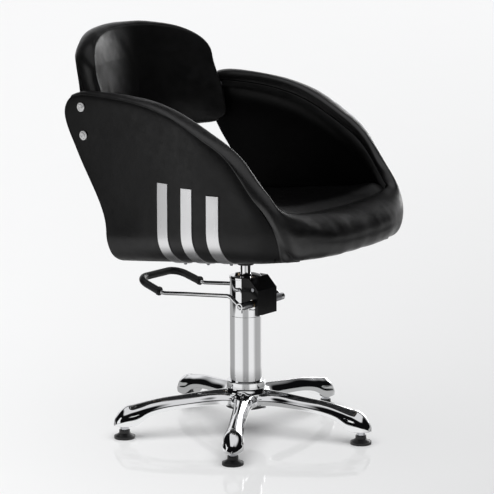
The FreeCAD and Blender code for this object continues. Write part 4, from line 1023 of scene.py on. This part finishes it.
def backrest_rings(outline, normal):
    """Rings from the middle of the face, round the border, to the middle of the rear."""
    inset = outline - normal * BACK_EDGE
    front_y = back_surface(outline, 0.0)[:, 1]
    depth = back_depth(outline)
    quarter_turn = np.linspace(0, math.pi / 2, EDGE_RINGS + 1)[1:]
    rings = []
    for rho in np.linspace(0.0, 1, FACE_RINGS + 1)[1:] ** 0.9:
        ring = back_surface(BACK_CENTRE + (inset - BACK_CENTRE) * rho, 0.0)
        ring[:, 1] -= FRONT_CROWN * (1 - rho ** 2.4)
        rings.append(ring)
    for turn in quarter_turn:
        ring = back_surface(outline - normal * BACK_EDGE * (1 - math.sin(turn)), 0.0)
        ring[:, 1] += BACK_EDGE * (1 - math.cos(turn))
        rings.append(ring)
    for k in range(1, BORDER_RINGS + 1):
        t = k / BORDER_RINGS
        x, z = (outline + normal * (3.4 * math.sin(math.pi * t) ** 0.8)).T
        y = front_y + (BACK_EDGE + (depth - 2 * BACK_EDGE) * t)
        rings.append(np.stack([x, y, z], 1))
    for turn in quarter_turn:
        x, z = (outline - normal * BACK_EDGE * (1 - math.cos(turn))).T
        y = front_y + depth - BACK_EDGE + BACK_EDGE * math.sin(turn)
        rings.append(np.stack([x, y, z], 1))
    for rho in 1 - np.linspace(0.0, 1, 26)[1:-1] ** 1.1:
        ring = back_surface(BACK_CENTRE + (inset - BACK_CENTRE) * rho, 1.0)
        ring[:, 1] += REAR_CROWN * (1 - rho ** 2.2)
        rings.append(ring)
    return np.array(rings)


def backrest_relief(rings, outline, seams):
    """Presses the seams in and adds soft unevenness and puckers."""
    normals = grid_normals(np.concatenate([rings, rings[:, :1]], 1))[:, :-1]
    middle = np.array([0, 300, 812.0])
    normals = normals * np.sign(np.sum(normals[50] * (rings[50] - middle), axis=1).mean())
    along = from_first(np.swapaxes(rings, 0, 1)).T
    for seam in seams:
        away = np.abs(along - along[seam])
        press = 1.5 * np.exp(-(away / 1.6) ** 2) + 0.8 * np.exp(-(away / 6.0) ** 2)
        rings = rings - normals * press[..., None]
    run = run_length(outline)
    pucker = (np.sin(run / 9.0 + 1.1 * np.sin(run / 43.0))
              * (0.55 + 0.45 * np.sin(run / 71.0)))[None]
    from_front_seam = np.abs(along - along[seams[0]])
    low = smooth_step(860 - rings[..., 2], 0, 90)
    relief = 0.8 * waves(rings, seed=41, scale=120)
    relief += 0.3 * waves(rings, seed=42, scale=40) * low
    relief += 0.38 * pucker * np.exp(-from_front_seam / 12)
    return rings + normals * relief[..., None]


def backrest():
    outline, normal = back_outline()
    # the seams run half way round the front and the rear edge
    front_seam = FACE_RINGS + EDGE_RINGS // 2
    seams = (front_seam, front_seam + EDGE_RINGS + BORDER_RINGS)
    rings = backrest_relief(backrest_rings(outline, normal), outline, seams)
    centre_y = float(back_face_y(*BACK_CENTRE))
    centre_z = BACK_CENTRE[1]
    verts = np.concatenate([rings.reshape(-1, 3), [
        [0, centre_y - FRONT_CROWN, centre_z],
        [0, centre_y + BACK_THICK + 7.5, centre_z]]], 0)
    faces = closed_tube(len(rings), BACK_AROUND, len(verts) - 2, len(verts) - 1)
    faces = turned_faces(faces, verts, probe=BACK_AROUND * 10, axis=1, sign=-1)
    pad = make("backrest_pad", verts, faces, LEATHER_BACK, ["backrest_cushion"])
    hold = np.zeros((len(rings), BACK_AROUND))
    for seam in seams:
        hold[seam - 1:seam + 2] = 1.0
    inflate(pad, np.concatenate([hold.ravel(), [0, 0]]), pressure=2.0, cap_mm=2.5, relax=30)


backrest()


# =============================================================== rear panel
def signed_power(value, power):
    return math.copysign(abs(value) ** power, value)


def rear_panel():
    """Upright cushioned panel across the rear of the tub, narrowed low down by the tuck."""
    across, around = 60, 64
    half_thick, half_height, centre_y = 10.3, 48, 176.2
    centre_z = 445.9 - SLOPE * 176 + 48.3
    full_half_width = float(inner_half_width(176)) - 1.8
    rings = []
    for share in np.linspace(-1, 1, across):
        ring = []
        for turn in np.linspace(0, 2 * math.pi, around, endpoint=False):
            cosine, sine = math.cos(turn), math.sin(turn)
            up = half_height * signed_power(sine, 0.28)
            bulge = 4.0 * (1 - share ** 4) * (1 - (up / half_height) ** 2)
            bulge *= 1 if cosine > 0 else -0.2
            y = centre_y + half_thick * signed_power(cosine, 0.5) + bulge
            z = centre_z + up
            half_width = full_half_width
            if z < 492:
                tuck = math.sqrt(max(0, 1 - ((508 - z) / TUCK) ** 2))
                half_width = min(half_width, 199 + 28 * tuck - 2)
            ring.append((share * half_width, y, z))
        rings.append(ring)
    rings = np.array(rings)
    outward = unit(rings - rings.mean(1, keepdims=True))
    rings = rings + outward * (0.7 * waves(rings, seed=51, scale=70))[..., None]
    centres = [rings[0].mean(0), rings[-1].mean(0)]
    verts = np.concatenate([rings.reshape(-1, 3), centres], 0)
    faces = closed_tube(across, around, len(verts) - 2, len(verts) - 1, flip_caps=True)
    faces = turned_faces(faces, verts, probe=30 * around, axis=1, sign=1)
    make("rear_panel_cover", verts, faces, LEATHER, ["rear_panel"])


rear_panel()

# ================================================================ base star
LEG_COUNT, FIRST_LEG_ANGLE = 5, 68.8
LEG_START, LEG_END = 34, 315
# leg stations: (distance from the axis, half widths of skirt, shoulder and ridge,
# heights of underside, crease, shoulder and ridge)
LEG = np.array([
    (34, 31, 22.0, 7.0, 72, 85, 99, 105), (48, 31, 19.5, 6.4, 71, 84.5, 98, 104.6),
    (60, 25.5, 16, 6.0, 71, 83.5, 97.3, 104.1), (80, 20.6, 13.7, 5.5, 71, 82, 96, 103),
    (115, 19, 12.5, 5.5, 69, 80, 92.5, 99.7), (160, 18, 11.5, 5.5, 66, 76, 88, 95),
    (200, 18, 12.0, 6.0, 61, 71, 84, 91), (223, 18.6, 13, 6.5, 55.5, 66, 79.5, 87.3),
    (243, 20, 15, 7.2, 46.5, 59, 74, 83.6), (258, 22, 17.5, 8.2, 36, 51, 70, 80.6),
    (270, 23.6, 19.0, 9.2, 31.4, 47.5, 67.5, 78.3), (282, 24.3, 19.8, 9.8, 31, 46, 65, 76.3),
    (293, 23.4, 18.4, 9.0, 31, 44, 60, 70.6), (302, 20.4, 15.2, 7.4, 31, 41, 53, 61.6),
    (309, 15.2, 11, 5.2, 31, 38, 45.5, 52), (313.3, 8.6, 6, 3, 31, 34.5, 38.5, 42.5),
    (315, 2.2, 1.5, 0.8, 31, 32, 33, 34),
], float)
# hub section: (radius, z, length taken off each side of the corner by its rounding)
HUB = [(37.06, 70.1, 0.4), (37.06, 125, 0.8), (45, 125, 2.2), (45, 108, 3), (50, 99, 4),
       (50, 70.1, 2)]


def leg_section(skirt, shoulder, ridge, under, crease, shoulder_z, ridge_z):
    """Closed cross-section of a leg as (sideways, z) points."""
    half = [(0, ridge_z + 0.5),
            (ridge * 0.62, ridge_z),
            (ridge, ridge_z - (ridge_z - shoulder_z) * 0.22),
            (shoulder, shoulder_z),
            (skirt - (skirt - shoulder) * 0.32, crease + (shoulder_z - crease) * 0.36),
            (skirt, crease),
            (skirt - 0.4, crease - (crease - under) * 0.35),
            (skirt - 1.2, under + (crease - under) * 0.16),
            (skirt - 3.2, under),
            (skirt * 0.45, under),
            (0, under)]
    points = half + [(-x, z) for x, z in half[1:-1][::-1]]
    closed = points + points[:1]
    return spline(np.arange(len(closed)), closed)(np.linspace(0, len(closed) - 1, 73)[:-1])


def star_legs():
    stations = np.concatenate([np.linspace(LEG_START, 250, 40), np.linspace(254, 311, 26),
                               [312.4, 313.6, 314.5, LEG_END]])
    sizes = np.maximum(spline(LEG[:, 0], LEG[:, 1:])(stations), 0.5)
    sections = [leg_section(*row) for row in sizes]
    verts, faces = [], []
    for k in range(LEG_COUNT):
        angle = math.radians(FIRST_LEG_ANGLE + 360 // LEG_COUNT * k)
        cosine, sine = math.cos(angle), math.sin(angle)
        base = len(verts)
        for r, section in zip(stations, sections):
            for x, z in section:
                verts.append((r * cosine - x * sine, r * sine + x * cosine, z))
        for r, z in ((LEG_START, 88), (LEG_END + 0.2, 32.5)):
            verts.append((r * cosine, r * sine, z))
        leg = closed_tube(len(stations), len(sections[0]), len(verts) - 2, len(verts) - 1,
                          base=base, flip_caps=True)
        faces += turned_faces(leg, verts, probe=0, axis=2, sign=1)
    return verts, faces


def hub_section():
    points = []
    for i, (*corner, size) in enumerate(HUB):
        corner = np.array(corner, float)
        before, after = (np.array(HUB[n % len(HUB)][:2], float) for n in (i - 1, i + 1))
        start = corner + unit(before - corner) * size
        end = corner + unit(after - corner) * size
        for t in np.linspace(0, 1, 6):
            points.append((1 - t) ** 2 * start + 2 * t * (1 - t) * corner + t ** 2 * end)
    return points


def hub_ring(base):
    """The hub section turned round the Z axis."""
    segments = 120
    section = hub_section()
    verts = []
    for k in range(segments):
        angle = 2 * math.pi * k / segments
        verts += [(r * math.cos(angle), r * math.sin(angle), z) for r, z in section]
    return verts, quads(segments, len(section), wrap_u=True, wrap_v=True, base=base, flip=True)


def star_casting():
    verts, faces = star_legs()
    hub_verts, hub_faces = hub_ring(base=len(verts))
    make("star_casting", verts + hub_verts, faces + hub_faces, CHROME, ["base_star"],
         body="base")


star_casting()

# ==================================================================== camera
CAMERA_PLACE = Vector((-4.572767, -3.672039, 1.606906))
CAMERA_RIGHT = Vector((0.625176, -0.780477, -0.003247))
CAMERA_UP = Vector((0.154178, 0.119418, 0.9808))
CAMERA_BACK = Vector((-0.765104, -0.613673, 0.19499))


def add_camera():
    lens = bpy.data.cameras.new("camera")
    camera = bpy.data.objects.new("camera", lens)
    scene.collection.objects.link(camera)
    lens.sensor_width = 36
    lens.lens = 187.490769
    lens.clip_end = 100
    pose = Matrix((CAMERA_RIGHT, CAMERA_UP, CAMERA_BACK)).transposed()
    camera.matrix_world = Matrix.Translation(CAMERA_PLACE) @ pose.to_4x4()
    scene.camera = camera


add_camera()

# ===================================================================== floor
FLOOR_HALF = 60.0
# painted brightness of the floor in reflections, its darker wedges painted shade: (azimuth round
# the Z axis in degrees, grey)
FLOOR_WEDGES = [(-180, .88), (-168, .88), (-158, .42), (-127, .42), (-117, .90), (-88, .90),
                (-68, .42), (-14, .45), (0, .85), (34, .85), (44, .40), (127, .40),
                (137, .92), (180, .90)]


def fill_wedges(elements):
    """The colour ramp starts with its two end stops; the others go in between."""
    (_, first), *middle, (_, last) = FLOOR_WEDGES
    elements[0].position, elements[0].color = 0, (first,) * 3 + (1,)
    elements[1].position, elements[1].color = 1, (last,) * 3 + (1,)
    for angle, grey in middle:
        stop = elements.new((angle + 180) / 360)
        stop.color = (grey,) * 3 + (1,)


def floor_reflection(shader, ray):
    """What polished parts see: a glowing painted reflection of lit paper with soft wedges of
    painted shade.
    """
    position = shader.node("NewGeometry").outputs["Position"]
    split = shader.node("SeparateXYZ", {0: position})
    azimuth = shader.maths("ARCTAN2", split.outputs["Y"], split.outputs["X"])
    turn = shader.remap(azimuth, 0, 1, start=-math.pi, end=math.pi)
    wedges = shader.node("ValToRGB", {0: turn})
    fill_wedges(wedges.color_ramp.elements)

    # the paper ends at a set distance either side of the line of sight
    lateral = shader.along(position, (0.6252, -0.7805, 0))
    aside = shader.maths("ABSOLUTE", lateral)
    paper = shader.remap(aside, 1.0, 0.01, start=1.28, end=1.42)
    # it carries on at the largest azimuths, just short of the -X axis
    wide_sector = shader.remap(azimuth, 0.0, 1.0, start=2.452, end=2.496)
    near = shader.maths("MAXIMUM", paper, wide_sector)
    # further out on the camera's right the ground is lit again
    distance = shader.length(position)
    far_right = shader.maths("MULTIPLY",
                             shader.remap(distance, 0.0, 0.95, start=1.95, end=2.3),
                             shader.remap(lateral, 0.0, 1.0, start=0.2, end=0.5))
    lit = shader.maths("MAXIMUM", near, far_right)

    # the ground right under the seat is in its shade, except to very short rays
    shade = shader.remap(shader.length(position), 0.10, 1.0, start=0.38, end=0.66)
    long_ray = shader.remap(ray.outputs["Ray Length"], 0.0, 1.0, start=0.27, end=0.36)
    shaded = shader.node("Mix", {0: long_ray, 2: 1.0, 3: shade}, data_type="FLOAT").outputs[0]
    strength = shader.maths("MULTIPLY", lit, shaded)
    colour = shader.multiply_colour(wedges.outputs[0], strength)
    return shader.node("Emission", {"Strength": 1.0, "Color": colour}).outputs[0]


def floor_paint(shader):
    """What the camera sees: pale paint under a thin gloss, with painted shade darkening it to the
    lower right.
    """
    window = shader.node("TexCoord").outputs["Window"]
    split = shader.node("SeparateXYZ", {0: window})
    # painted shade: the floor colour falls towards the lower right of the frame
    lower_right = shader.maths("MULTIPLY", split.outputs["X"],
                               shader.remap(split.outputs["Y"], 1.0, 0.05))
    base = shader.blend(lower_right, (0.955, 0.958, 0.962), (0.76, 0.763, 0.768))
    patches = shader.noise(shader.coords(), scale=3, detail=3)
    grime = shader.blend(patches, (0.992, 0.992, 0.992), (1, 1, 1))
    matt = shader.node("BsdfDiffuse", {"Color": shader.multiply_colour(base, grime)})
    gloss = shader.node("BsdfGlossy", {"Roughness": 0.05, "Color": (0.95, 0.95, 0.95, 1)})
    return shader.node("MixShader", {0: 0.10, 1: matt.outputs[0], 2: gloss.outputs[0]}).outputs[0]


def floor_material():
    shader = new_shader("studio floor")
    ray = shader.node("LightPath")
    reflection = floor_reflection(shader, ray)
    paint = floor_paint(shader)
    seen = shader.node("MixShader", {0: ray.outputs["Is Glossy Ray"], 1: paint, 2: reflection})
    shader.node("OutputMaterial", {0: seen.outputs[0]})
    return shader.owner


def add_floor():
    material = floor_material()
    corners = [(x * FLOOR_HALF, y * FLOOR_HALF, 0) for x, y in ((-1, -1), (1, -1), (1, 1), (-1, 1))]
    mesh = bpy.data.meshes.new("floor")
    mesh.from_pydata(corners, [], [(0, 1, 2, 3)])
    made = bpy.data.objects.new("floor", mesh)
    scene.collection.objects.link(made)
    mesh.materials.append(material)
    return made


floor = add_floor()


# ===================================================================== lamps
def area_lamp(name, place, size, size_y, watts):
    """A rectangular lamp aimed at the seat, left and right as the camera sees it."""
    light = bpy.data.lights.new(name, "AREA")
    light.shape = "RECTANGLE"
    light.size, light.size_y, light.energy = size, size_y, watts
    made = bpy.data.objects.new(name, light)
    scene.collection.objects.link(made)
    made.location = place
    made.rotation_mode = "QUATERNION"
    aim = Vector((0, 0, 0.6)) - Vector(place)
    made.rotation_quaternion = aim.to_track_quat("-Z", "Y")
    made.visible_camera = False
    return made


def floor_wash():
    """A broad sun that lights only the floor."""
    light = bpy.data.lights.new("floor wash", "SUN")
    light.energy = 2.62
    light.angle = math.radians(75)
    made = bpy.data.objects.new("floor wash", light)
    scene.collection.objects.link(made)
    made.rotation_euler = (math.radians(8), math.radians(-10), 0)
    made.visible_glossy = False
    return made


def collection_of(name, *members):
    made = bpy.data.collections.new(name)
    for member in members:
        made.objects.link(member)
    return made


area_lamps = [
    area_lamp("key right", place=(3.0, 0.55, 1.05), size=1.7, size_y=1.2, watts=21),
    area_lamp("fill left", place=(-3.0, 1.9, 1.0), size=1.4, size_y=1.0, watts=4),
]
sun = floor_wash()
not_floor = collection_of("lamps leave the floor alone", floor)
not_floor.collection_objects[0].light_linking.link_state = "EXCLUDE"
for lamp in area_lamps:
    lamp.light_linking.receiver_collection = not_floor
sun.light_linking.receiver_collection = collection_of("floor wash receivers", floor)
# only the foot of the seat throws a shadow in the wash
sun.light_linking.blocker_collection = collection_of(
    "floor wash blockers",
    *(NODES[name] for name in ("glide_feet", "glide_stems", "column_tube")),
    bpy.data.objects["star_casting"])


# ===================================================================== world
def room_reflection(shader):
    """What reflections see: a dark room with three pale areas."""
    direction = shader.node("TexCoord").outputs["Generated"]
    # the low backdrop on the far side of the seat from the camera
    behind = shader.along(direction, (0.778, 0.627, 0.05))
    height = shader.node("SeparateXYZ", {0: direction}).outputs["Z"]
    backdrop = shader.maths("MULTIPLY",
                            shader.remap(behind, 0.0, 1.0, start=0.62, end=0.80),
                            shader.remap(height, 1.0, 0.0, start=0.34, end=0.55))
    # overhead, leaning towards the camera
    above = shader.along(direction, (-0.202, -0.162, 0.966))
    overhead = shader.remap(above, 0.0, 0.85, start=0.66, end=0.76)
    # a dimmer flat standing on the +X side
    beside = shader.along(direction, (0.98, 0.15, 0.10))
    side_flat = shader.remap(beside, 0.0, 0.60, start=0.80, end=0.96)
    pale = shader.maths("MAXIMUM", shader.maths("MAXIMUM", backdrop, overhead), side_flat)
    return shader.blend(pale, (0.004, 0.004, 0.0045), (0.86, 0.86, 0.87))


def add_world():
    world = bpy.data.worlds.new("studio")
    scene.world = world
    shader = Shader(world)

    def background(colour, strength):
        return shader.node("Background", {"Strength": strength, "Color": colour}).outputs[0]

    seen = background((0.925, 0.928, 0.932, 1), strength=1.0)
    ambient = background((1, 1, 1, 1), strength=0.20)
    reflected = background(room_reflection(shader), strength=1.0)
    ray = shader.node("LightPath")
    indirect = shader.node("MixShader", {0: ray.outputs["Is Glossy Ray"], 1: ambient,
                                         2: reflected})
    total = shader.node("MixShader", {0: ray.outputs["Is Camera Ray"],
                                      1: indirect.outputs[0], 2: seen})
    shader.node("OutputWorld", {0: total.outputs[0]})


add_world()
scene.view_settings.view_transform = "Standard"
scene.view_settings.look = "None"
